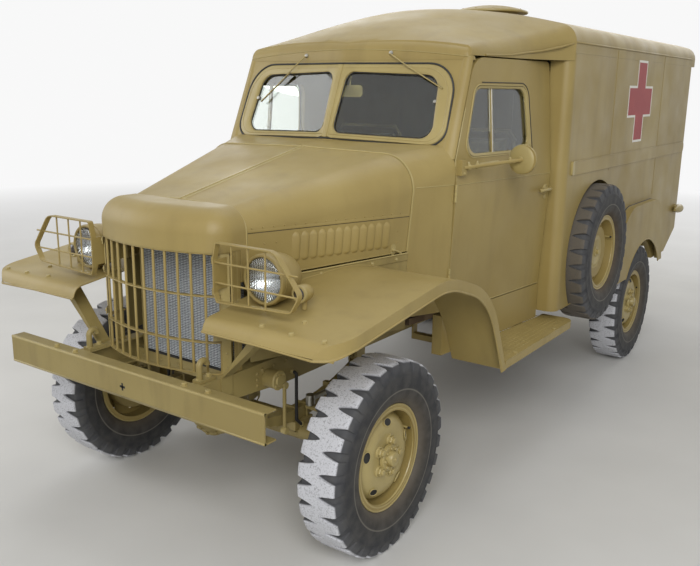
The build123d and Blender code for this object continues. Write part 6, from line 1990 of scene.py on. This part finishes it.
@dataclass(frozen=True)
class AmbulanceBody:
    """Belt caps, crosses, drip rails, rear doors and ventilator of the body."""

    wall: float = 865
    cross_station: float = 2860
    cross_z: float = 1790
    cross_span: float = 480
    cross_arm: float = 166
    belt: Spot = (1407.5, 1480.5)
    belt_cap: tuple = ((1698, 1406), (1726, 1406), (1726, 1482), (1698, 1482))
    # Station, foot and head of the upright panel joints
    joints: tuple = ((2335, 1390, 1402), (2335, 1486, 2086), (3350, 1150, 1402), (3350, 1486, 2086))
    # Drip rail from the body's rear corner forwards to the cab roof
    drip: tuple = ((866, 4100, 2094), (866, 3000, 2094), (866, 2000, 2094), (866, 1660, 2094), (820, 1545, 2066),
                   (764, 1450, 2044), (728, 1330, 2030), (704, 1200, 2015), (694, 1080, 2010), (684, 970, 2007))
    rear_corner: Point = (766, 4101, 2094)
    rear_corner_radius: float = 100
    rear_face: float = 4195.2
    door_middle: float = 299
    window_half: float = 190
    window_heights: Spot = (1480, 1820)
    door_half: float = 285
    door_heights: Spot = (850, 2018)
    hinge_heights: Point = (1000, 1430, 1860)
    ventilator: Point = (0, 2400, 2375)
    ventilator_screws: Spot = (12, 205)

    def build(self) -> None:
        """Dress the body's sides, roof and rear."""
        for name, side in SIDES:
            self.cross(name, side)
            self.side(name, side)
            self.rear_door(name, side)
        self.roof()

    def cross(self, name: str, side: int) -> None:
        """Painted red cross with its white outline, as thin coats on the wall.

        Args:
            name: Name of the side.
            side: 1 on the left, -1 on the right.
        """
        piece = Piece(f"red_cross_{name}", CROSS_WHITE, CROSS_RED)
        for finish, grow, lift in ((0, 14, 0.3), (1, 0, 0.6)):
            a, b = self.cross_span / 2 + grow, self.cross_arm / 2 + grow
            shape = ((-b, -a), (b, -a), (b, -b), (a, -b), (a, b), (b, b), (b, a), (-b, a), (-b, b), (-a, b),
                     (-a, -b), (-b, -b))
            piece.plate([metres(side * (self.wall + lift), self.cross_station + s, self.cross_z + z)
                         for s, z in shape], Vector((side * 0.0004, 0, 0)), finish)
        piece.build("vehicle")

    def side(self, name: str, side: int) -> None:
        """Belt end caps, wall joints, sill edge and drip rail.

        Args:
            name: Name of the side.
            side: 1 on the left, -1 on the right.
        """
        piece = Piece(f"body_{name}_trim", PANEL_PAINT, FITTING_PAINT, SHADOW)
        # Rolled edges of the belt and its bright end cap
        for z in self.belt:
            piece.tube([metres(side * 870.2, s, z) for s in (1722, 2600, 4080)], 2.6, 8)
        cap = loop(self.belt_cap, 13, 6)
        piece.plate([metres(side * self.wall, s, z) for s, z in cap], Vector((side * 0.011, 0, 0)), 1)
        for s, foot, head in self.joints:
            piece.tube([metres(side * self.wall, s, foot), metres(side * self.wall, s, head)], 2.2, 6)
        piece.tube(path(side, self.drip), 5.2, 8)
        # The rail goes on round the rear corner to the middle of the rear
        centre, = path(side, [self.rear_corner])
        corner = circle(centre, X_AXIS * side, Y_AXIS, self.rear_corner_radius,
                        [math.pi / 2 * k / 8 for k in range(9)])
        piece.tube([*corner, metres(0, 4201, 2094)], 5.2, 8)
        piece.tube([metres(side * 865.4, s, 663) for s in (1700, 2560)], 3.2, 8)
        piece.build("vehicle")

    def frame_round(self, mid: float, half: float, heights: Spot) -> list[Spot]:
        """Corners of a rectangle about a middle x."""
        low, high = heights
        return [(mid - half, low), (mid + half, low), (mid + half, high), (mid - half, high)]

    def rear_door(self, name: str, side: int) -> None:
        """Hinges, window rubber and edge bead of a rear door, with the handle and the cover strip on the right
        door.

        Args:
            name: Name of the side.
            side: 1 on the left, -1 on the right.
        """
        piece = Piece(f"rear_door_{name}_trim", FITTING_PAINT, SEAL_RUBBER, PANEL_PAINT)
        face = self.rear_face
        mid = side * self.door_middle
        window = self.frame_round(mid, self.window_half, self.window_heights)
        rows = []
        for depth, back in ((-14, 0), (-12, 4), (0, 5), (4, 1), (5, -14)):
            rows.append([metres(x, face + back, z) for x, z in loop(inset(window, depth), 50 - depth, 6)])
        piece.skin(rows, 1, round_rows=True)
        border = loop(self.frame_round(mid, self.door_half, self.door_heights), 20, 5)
        piece.tube([metres(x, face + 0.4, z) for x, z in border], 3.4, 8, 2, closed=True)
        for z in self.hinge_heights:
            hinge_x = side * 598
            piece.tube([metres(hinge_x, 4203, z - 42), metres(hinge_x, 4203, z + 42)], 7, 12)
            strap = [(side * 594, z - 16), (side * 480, z - 9), (side * 470, z), (side * 480, z + 9),
                     (side * 594, z + 16)]
            piece.plate([metres(x, face, w) for x, w in strap], Vector((0, 0.005, 0)))
            piece.bolts([metres(side * x, face + 5, z) for x in (500, 535, 570)], Y_AXIS, 10, 5)
        if side < 0:
            centre = metres(-40, face, 1300)
            piece.lathe([(0, 24), (4, 23), (10, 14), (20, 11)], centre, Y_AXIS, 24)
            grip = [metres(x, face + d, z) for x, d, z in ((-40, 18, 1300), (-42, 30, 1290), (-44, 34, 1262),
                                                          (-46, 32, 1215), (-47, 26, 1196))]
            piece.tube(grip, 8.5, 12)
            # Cover strip over the joint of the two doors
            piece.block(metres(-16, face, 840), metres(2, face + 5, 2026), 2)
        piece.build(f"rear_door_{name}")

    def roof(self) -> None:
        """Ventilator rim and screws, and the stop strip over the rear doors, dark as painted shade."""
        piece = Piece("roof_trim", PANEL_PAINT, FITTING_PAINT, SHADOW)
        centre = metres(*self.ventilator)
        piece.lathe([(-38, 236), (-42, 239), (-48, 239), (-52, 236)], centre, Z_AXIS, 72, 1)
        piece.lathe([(-94, 182), (-88, 177), (-60, 176)], centre, Z_AXIS, 60, 1)
        count, radius = self.ventilator_screws
        piece.rivets(circle(centre - Z_AXIS * 0.0295, X_AXIS, Y_AXIS, radius, turns(count)), Z_AXIS, 5, 3, 1)
        # Stop strip inside the rear header, behind the gap over the doors, in dark paint as painted shade
        piece.block(metres(-590, 4150, 2010), metres(590, 4158, 2046), 2)
        piece.build("vehicle")


@dataclass(frozen=True)
class Cab:
    """Seats, dash and controls seen through the glass."""

    seat_x: Spot = (360, -360)
    # Foot and head of the dash, as station and height
    dash_foot: Spot = (706, 1320)
    dash_head: Spot = (770, 1510)
    dials: tuple = ((250, 105, 42), (355, 105, 50), (455, 128, 24), (455, 76, 24))
    knobs: tuple = (-120, -70, -20, 30, 80, 130)
    # X, station and sideways lean of the gear and transfer levers
    levers: tuple = ((20, 800, 0.02), (90, 860, -0.03), (150, 870, -0.03))
    pedals: Point = (255, 350, 440)
    column_foot: Point = (335, 405, 850)
    column_head: Point = (355, 975, 1405)
    rim_radius: float = 205
    grips: int = 60
    # Label, middle, size before swelling, lean and farthest move of a point, in mm
    pads: tuple = (("seat_cushion", (0, 1278, 1118), (455, 395, 84), 0.05, 22),
                   ("seat_back", (0, 1508, 1412), (430, 405, 54), math.radians(81), 16))

    def build(self) -> None:
        """Make the cab's inside."""
        self.dash()
        self.steering()
        self.seat_frames()
        self.cushions()

    def dash(self) -> None:
        """Instrument panel with blank dials, glove box, knobs, and the levers and pedals."""
        piece = Piece("dash_fittings", INSIDE_PAINT, HARD_RUBBER, BARE_STEEL, DIAL_PAINT, WINDOW_GLASS)
        foot = metres(0, *self.dash_foot)
        slope = (metres(0, *self.dash_head) - foot).normalized()
        out = Vector((0, slope.z, -slope.y))

        def on_dash(x: float, up: float) -> Vector:
            """Point on the dash's face, so far up its slope."""
            return foot + X_AXIS * x / 1000 + slope * up / 1000

        panel = loop([(190, 40), (520, 40), (520, 170), (190, 170)], 24, 5)
        piece.plate([on_dash(x, u) for x, u in panel], out * 0.004)
        for x, u, r in self.dials:
            spot = on_dash(x, u) + out * 0.004
            piece.lathe([(0, r), (5, r), (6, r - 4), (3, r - 6)], spot, out, 32, 2)
            piece.lathe([(2, r - 5), (2, 0)], spot, out, 32, 3)
            piece.lathe([(3.5, r - 6), (4.5, 0)], spot, out, 24, 4)
            needle = [spot + out * 0.003 + slope * a / 1000 + X_AXIS * b / 1000 for a, b in
                      ((-r * 0.2, -1), (-r * 0.2, 1), (r * 0.66, 0.4), (r * 0.66, -0.4))]
            piece.plate(needle, out * 0.0004, 1)
        glove = loop([(-520, 50), (-230, 50), (-230, 160), (-520, 160)], 16, 5)
        piece.tube([on_dash(x, u) for x, u in glove], 2.6, 8, closed=True)
        for x in self.knobs:
            knob = on_dash(x, 70)
            piece.lathe([(0, 5), (14, 5), (15, 12), (23, 12), (25, 9), (25, 0)], knob, out, 18, 1)
        for x, s, lean in self.levers:
            base = metres(x, s, 830)
            piece.lathe([(0, 46), (8, 40), (20, 16)], base, Z_AXIS, 24, 1)
            top = base + Vector((lean, 0.12, 0.40))
            piece.tube([base, base + Vector((0, 0.02, 0.2)), top], 7, 10, 2)
            piece.lathe([(-6, 9), (0, 17), (14, 19), (24, 14), (28, 0)], top, Z_AXIS, 18, 1)
        tread = loop([(-28, -34), (28, -34), (28, 34), (-28, 34)], 10, 4)
        for x in self.pedals:
            pad = [metres(x + a, 610 + b * 0.5, 920 + b * 0.9) for a, b in tread]
            piece.plate(pad, Vector((0, 0.01, -0.006)), 1)
            piece.tube([metres(x, 608, 915), metres(x, 545, 830)], 7, 8, 2)
        piece.build("vehicle")

    def steering(self) -> None:
        """Column clamp, horn button and finger grips of the steering wheel."""
        low, top = metres(*self.column_foot), metres(*self.column_head)
        way = (top - low).normalized()
        column = Piece("steering_column_clamp", INSIDE_PAINT, BARE_STEEL)
        spot = low.lerp(top, 0.62)
        column.lathe([(-18, 26), (-18, 32), (18, 32), (18, 26)], spot, way, 24)
        column.bolts([spot + X_AXIS * 0.031], X_AXIS, 14, 8, 1)
        column.build("vehicle")
        ring = Piece("steering_wheel_grip", HARD_RUBBER, BARE_STEEL)
        centre = top + way * 0.045
        u, v = across(way)
        # Each grip fills the middle 68 hundredths of its share of the rim
        for start in turns(self.grips):
            angles = [start + 2 * math.pi * (0.16 + 0.68 * k / 3) / self.grips for k in range(4)]
            ring.tube(circle(centre, u, v, self.rim_radius, angles), 13.6, 10)
        ring.lathe([(8, 34), (14, 34), (20, 28), (22, 20), (22, 0)], centre, way, 32)
        ring.lathe([(22, 20), (26, 18), (28, 0)], centre, way, 28, 1)
        ring.build("steering_wheel")

    def seat_frames(self) -> None:
        """Boxes under the seat cushions and tubular frames of the backs."""
        piece = Piece("seat_frames", INSIDE_PAINT, BARE_STEEL)
        for x in self.seat_x:
            base = loop([(x - 232, 1078), (x + 232, 1078), (x + 232, 1482), (x - 232, 1482)], 26, 5)
            piece.plate([metres(a, s, 830.4) for a, s in base], Vector((0, 0, 0.226)))
            tray = loop([(x - 246, 1064), (x + 246, 1064), (x + 246, 1496), (x - 246, 1496)], 34, 5)
            piece.plate([metres(a, s, 1050) for a, s in tray], Vector((0, 0, 0.024)))
            back = [(-226, 1478, 1100), (-226, 1505, 1180), (-226, 1568, 1590), (-190, 1575, 1632),
                    (190, 1575, 1632), (226, 1568, 1590), (226, 1505, 1180), (226, 1478, 1100)]
            piece.tube([metres(x + a, s, z) for a, s, z in back], 11, 10)
        made = piece.build("vehicle")
        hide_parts("seats")

    def pad(self, name: str, place: Vector, size: Point, tilt: float,
            rise: float) -> bpy.types.Mesh:
        """Crowned pad swollen by a cloth simulation about its own middle.

        Args:
            name: Name of the mesh.
            place: Where the pad stands while it swells.
            size: Width, depth and thickness in mm before it swells.
            tilt: Angle that the pad leans back.
            rise: Farthest that a point may move, in mm.

        Returns:
            The pad's mesh, about its own middle.
        """
        w, d, h = (v / 2000 for v in size)
        mesh = bmesh.new()
        nx, ny = 22, 20
        shell = {}
        for top in (1, -1):
            for i in range(nx + 1):
                for j in range(ny + 1):
                    a, b = 2 * i / nx - 1, 2 * j / ny - 1
                    # Superellipse plan, so that the sides pull in between the corners
                    pull = 1 - 0.035 * (1 - b * b) * abs(a) ** 3
                    push = 1 - 0.035 * (1 - a * a) * abs(b) ** 3
                    crown = (1 - abs(a) ** 5) ** 0.45 * (1 - abs(b) ** 5) ** 0.45
                    shell[top, i, j] = mesh.verts.new((a * w * pull, b * d * push,
                                                      top * h * (0.55 + 0.45 * crown)))
        for top in (1, -1):
            for i in range(nx):
                for j in range(ny):
                    quad = [shell[top, i, j], shell[top, i + 1, j], shell[top, i + 1, j + 1], shell[top, i, j + 1]]
                    mesh.faces.new(quad if top > 0 else quad[::-1])
        rim = [(i, 0) for i in range(nx)] + [(nx, j) for j in range(ny)] + [(i, ny) for i in range(nx, 0, -1)] \
            + [(0, j) for j in range(ny, 0, -1)]
        for k, (i, j) in enumerate(rim):
            m, n = rim[(k + 1) % len(rim)]
            mesh.faces.new((shell[-1, i, j], shell[-1, m, n], shell[1, m, n], shell[1, i, j]))
        bmesh.ops.recalc_face_normals(mesh, faces=mesh.faces)
        data = bpy.data.meshes.new(name)
        mesh.to_mesh(data)
        mesh.free()
        data = self.swell(name, data, rise / 1000)
        for spot in data.vertices:
            # Sewn channels across the pad, five of them, pressed in after the swelling
            wave = abs(math.sin(math.pi * (spot.co.x / (2 * w) + 0.5) * 5))
            if abs(spot.co.z) > h * 0.5:
                spot.co.z *= 1 - 0.16 * (1 - min(wave / 0.35, 1.0)) ** 2
            spot.co = Matrix.Rotation(tilt, 3, "X") @ spot.co + place
        return data

    def swell(self, name: str, data: bpy.types.Mesh, limit: float) -> bpy.types.Mesh:
        """Swell a pad by cloth pressure and keep each point within a limit of its start.

        Args:
            name: Name of the mesh.
            data: The mesh before it swells.
            limit: Farthest that a point may move, in metres.

        Returns:
            The swollen mesh.
        """
        scene = bpy.context.scene
        soft = bpy.data.objects.new(name + "_soft", data)
        scene.collection.objects.link(soft)
        remesh = soft.modifiers.new("remesh", "REMESH")
        remesh.mode = "VOXEL"
        remesh.voxel_size = 0.006
        depsgraph = bpy.context.evaluated_depsgraph_get()
        start = bpy.data.meshes.new_from_object(soft.evaluated_get(depsgraph))
        soft.modifiers.clear()
        soft.data = start
        before = [v.co.copy() for v in start.vertices]
        cloth = soft.modifiers.new("cloth", "CLOTH")
        cloth.settings.use_pressure = True
        cloth.settings.uniform_pressure_force = 4
        cloth.settings.effector_weights.gravity = 0
        cloth.settings.quality = 4
        for step in range(1, 21):
            scene.frame_set(step)
        depsgraph = bpy.context.evaluated_depsgraph_get()
        swollen = bpy.data.meshes.new_from_object(soft.evaluated_get(depsgraph))
        for vertex, origin in zip(swollen.vertices, before):
            move = vertex.co - origin
            if move.length > limit:
                vertex.co = origin + move.normalized() * limit
        bpy.data.objects.remove(soft)
        scene.frame_set(1)
        return swollen

    def cushions(self) -> None:
        """Seat and back cushions of both seats, alike, in cotton duck with sewn channels."""
        for label, place, size, tilt, rise in self.pads:
            data = self.pad(label, metres(*place), size, tilt, rise)
            for face in data.polygons:
                face.use_smooth = True
            data.materials.append(CANVAS.material())
            for (name, _), x in zip(SIDES, self.seat_x):
                made = stand(f"{label}_{name}", data, (x / 1000, 0, 0))
                finer = made.modifiers.new("round", "SUBSURF")
                finer.levels = finer.render_levels = 1
                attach(made, "vehicle")
            LOG.info("%s: %d points", label, len(data.vertices))


@dataclass(frozen=True)
class Chassis:
    """U-bolts, clips, links and fastenings of the running gear."""

    # X and station of the springs' middles
    springs: tuple = ((345, 0), (470, WHEELBASE))
    clip_half: float = 25
    clip_heights: Spot = (503, 553)
    shock: Point = (422, -205, 705)
    shock_link: tuple = ((-12, 13), (-10, 15.5), (10, 15.5), (12, 13), (12, 0))
    differential: Spot = (-120, 404)
    # Radius, flange and bowl of the differential's cover
    cover_bolts: float = 116
    cover_flange: tuple = ((64, 128), (74, 128), (82, 120), (82, 108))
    cover: tuple = ((80, 104), (110, 90), (134, 60), (142, 24), (143, 0))

    def build(self) -> None:
        """Make the fittings of both axles, the frame and the step."""
        piece = Piece("spring_u_bolts", CHASSIS_PAINT, FITTING_PAINT)
        for _, side in SIDES:
            for x, mid in self.springs:
                for ds in (-34, 34):
                    for dx in (-29, 29):
                        spot = (side * x + dx, mid + ds)
                        piece.tube([metres(*spot, 408), metres(*spot, 520)], 6, 8)
                    piece.tube([metres(side * x - 29, mid + ds, 517), metres(side * x + 29, mid + ds, 517)], 6, 8)
                    piece.bolts([metres(side * x + dx, mid + ds, 412) for dx in (-29, 29)], -Z_AXIS, 18, 12)
                for ds in (-230, 230):
                    low, high = self.clip_heights
                    piece.block(metres(side * x - self.clip_half, mid + ds - 12, low),
                                metres(side * x + self.clip_half, mid + ds + 12, high))
        piece.build("vehicle")
        self.front_gear()
        self.frame_bolts()
        self.knuckles()

    def front_gear(self) -> None:
        """Lever shock caps and link ends, hose fittings, axle casing bolts and its ribs."""
        piece = Piece("front_gear_fittings", FITTING_PAINT, CHASSIS_PAINT, SEAL_RUBBER)
        for _, side in SIDES:
            shock, = path(side, [self.shock])
            axis = X_AXIS * side
            piece.lathe([(-4, 41), (0, 41), (3, 38), (3, 24), (9, 22), (10, 0)], shock, axis, 32)
            piece.bolts(circle(shock + axis * 0.003, Y_AXIS, Z_AXIS, 31, (0.6, 2.2, 3.8, 5.4)), axis, 8, 4)
            for z in (470, 668):
                piece.lathe(self.shock_link, metres(side * 411, -160, z), axis, 20)
                piece.lathe([(-12, 0), (-12, 13)], metres(side * 411, -160, z), axis, 20)
            piece.bolts([metres(side * 369, -60, 690)], axis, 15, 10)
            piece.lathe([(0, 9), (16, 9)], metres(side * 392, -24, 440), Z_AXIS, 6)
            piece.bolts([metres(side * 360, s, 745) for s in (-240, -170, -90, 60, 140, 540)], axis, 15, 7, 1)
        for station, out in ((0, 1), (WHEELBASE, -1)):
            x, z = self.differential
            centre = metres(x, station, z)
            front = Y_AXIS * -out
            piece.lathe(self.cover_flange, centre, front, 44, 1)
            ring = circle(centre + front * 0.082, X_AXIS, Z_AXIS, self.cover_bolts, turns(12))
            piece.bolts(ring, front, 14, 8, 1)
            piece.lathe(self.cover, centre, front, 40, 1)
            piece.bolts([centre + front * 0.126 - Z_AXIS * 0.07], (front - Z_AXIS * 0.6).normalized(), 20, 10, 1)
            for t in (215, 222):
                piece.lathe([(0, 58), (8, 58)], metres(x, station + out * (t - 9), z), Y_AXIS, 30, 1)
        piece.build("vehicle")

    def frame_bolts(self) -> None:
        """Rows of rivets along the rails and their members, tank straps and step hinges."""
        piece = Piece("frame_rivets", CHASSIS_PAINT, FITTING_PAINT, EXHAUST_IRON)
        for _, side in SIDES:
            rows = [(s, z) for s in (-250, 620, 1500, 2400) for z in (688, 712, 736)]
            piece.rivets([metres(side * 360, s + d, z) for s, z in rows for d in (-18, 18)], X_AXIS * side, 8, 5)
            for s in (3430, 3700):
                piece.block(metres(side * 120 - 14, s - 80, 556), metres(side * 120 + 14, s - 76, 770))
        for s in (3480, 3880):
            outline = rounded([(-244, 770), (-244, 556), (244, 556), (244, 770)], [34, 34], 6)
            rows = [[metres(x, s + d, z) for x, z in outline] for d in (-16, 16)]
            piece.skin(rows)
        for s, r in ((1100, 73), (1400, 72), (1700, 73)):
            piece.lathe([(-8, 70), (-6, r), (6, r), (8, 70)], metres(-480, s, 505), Y_AXIS, 36, 2)
        piece.build("vehicle")
        step = Piece("rear_step_tread", CHASSIS_PAINT, FITTING_PAINT)
        for k in range(9):
            z = 505 + 26 * k
            step.tube([metres(-290, 4248.4, z), metres(290, 4248.4, z)], 3, 8)
        step.build("rear_step")

    def knuckles(self) -> None:
        """Flange bolts and king pin caps of the steering knuckles, and rod end clamps."""
        for name, side in SIDES:
            piece = Piece(f"knuckle_{name}_bolts", CHASSIS_PAINT, FITTING_PAINT)
            for dz, way in ((78, 1), (-78, -1)):
                centre = metres(side * 655, 0, 404 + dz)
                axis = Z_AXIS * way
                piece.bolts(circle(centre, X_AXIS, Y_AXIS, 30, (0.8, 2.4, 3.9, 5.5)), axis, 13, 9)
            ring = circle(metres(side * 648, 0, 404), Y_AXIS, Z_AXIS, 73, turns(8))
            piece.bolts(ring, -X_AXIS * side, 12, 8)
            piece.build(f"knuckle_{name}")
        rod = Piece("tie_rod_clamps", CHASSIS_PAINT)
        for side in (1, -1):
            spot = metres(side * 540, 220, 346)
            rod.lathe([(-14, 14), (-14, 18), (14, 18), (14, 14)], spot, X_AXIS, 20)
            rod.bolts([spot - Z_AXIS * 0.016], -Z_AXIS, 12, 8)
        rod.build("tie_rod")


@dataclass(frozen=True)
class Studio:
    """Camera, pale floor, soft lights and pale surroundings."""

    eye: Point = (2.403, -4.3675, 1.848)
    azimuth: float = 0.61344
    elevation: float = 0.23731
    roll: float = 0.01307
    sensor: float = 36.0
    focal: float = 36.0 * 804.04 / 700
    ambient: float = 0.30
    seen: float = 0.94
    lamps: tuple = (("key", (4.2, -6.8, 4.6), 4.0, 360), ("fill", (-6.5, -4.5, 3.5), 5.0, 150),
                    ("top", (0.0, 1.0, 7.5), 6.0, 110), ("rear", (0.0, 9.0, 4.5), 5.0, 110),
                    ("side", (-5.0, 5.5, 4.0), 5.0, 120))

    def camera(self) -> None:
        """Camera at the photograph's viewing angle, solved from the vehicle's known sizes."""
        data = bpy.data.cameras.new("camera")
        data.sensor_width = self.sensor
        data.lens = self.focal
        data.clip_end = 200
        seen = stand("camera", data)
        turn = Matrix.Rotation(self.azimuth, 4, "Z") @ Matrix.Rotation(math.pi / 2 - self.elevation, 4, "X") \
            @ Matrix.Rotation(self.roll, 4, "Z")
        seen.matrix_world = Matrix.Translation(self.eye) @ turn
        bpy.context.scene.camera = seen

    def floor(self) -> None:
        """Round pale floor that fades into the surroundings."""
        piece = bmesh.new()
        bmesh.ops.create_circle(piece, cap_ends=True, segments=96, radius=40)
        data = bpy.data.meshes.new("studio_floor")
        piece.to_mesh(data)
        piece.free()
        data.materials.append(STUDIO_FLOOR.material())
        stand("studio_floor", data, (0, 0, -0.0005))

    def lights(self) -> None:
        """Large soft lamps from the front left, above and the right, and even light all round."""
        for name, place, size, power in self.lamps:
            data = bpy.data.lights.new(name, "AREA")
            data.shape = "DISK"
            data.size = size
            data.energy = power
            lamp = stand(name, data, place)
            lamp.rotation_euler = (Vector((0, 0, 0.9)) - Vector(place)).to_track_quat("-Z", "Y").to_euler()
        world = bpy.data.worlds.new("surroundings")
        bpy.context.scene.world = world
        world.use_nodes = True
        tree = world.node_tree
        tree.nodes.clear()
        strength = add_node(tree, Kind.MATH, ADD_TO_PRODUCT, in0=seen_rays(tree), in1=self.seen - self.ambient,
                            in2=self.ambient)
        back = add_node(tree, Kind.BACKGROUND, {"Color": (1, 1, 1, 1)}, Strength=strength)
        add_node(tree, Kind.WORLD_OUT, Surface=back)
        bpy.context.scene.view_settings.view_transform = "Standard"


def main() -> None:
    """Build everything in order."""
    logging.basicConfig(level=logging.INFO, format="%(name)s: %(message)s")
    studio = Studio()
    studio.camera()
    dress_cad()
    for assembly in (Tyre(), WheelFittings(), Lamps(), Front(), HoodTrim(), Fenders(), Windshield(), CabDoors(),
                     AmbulanceBody(), Cab(), Chassis()):
        assembly.build()
    studio.floor()
    studio.lights()


if __name__ == "__main__":
    main()
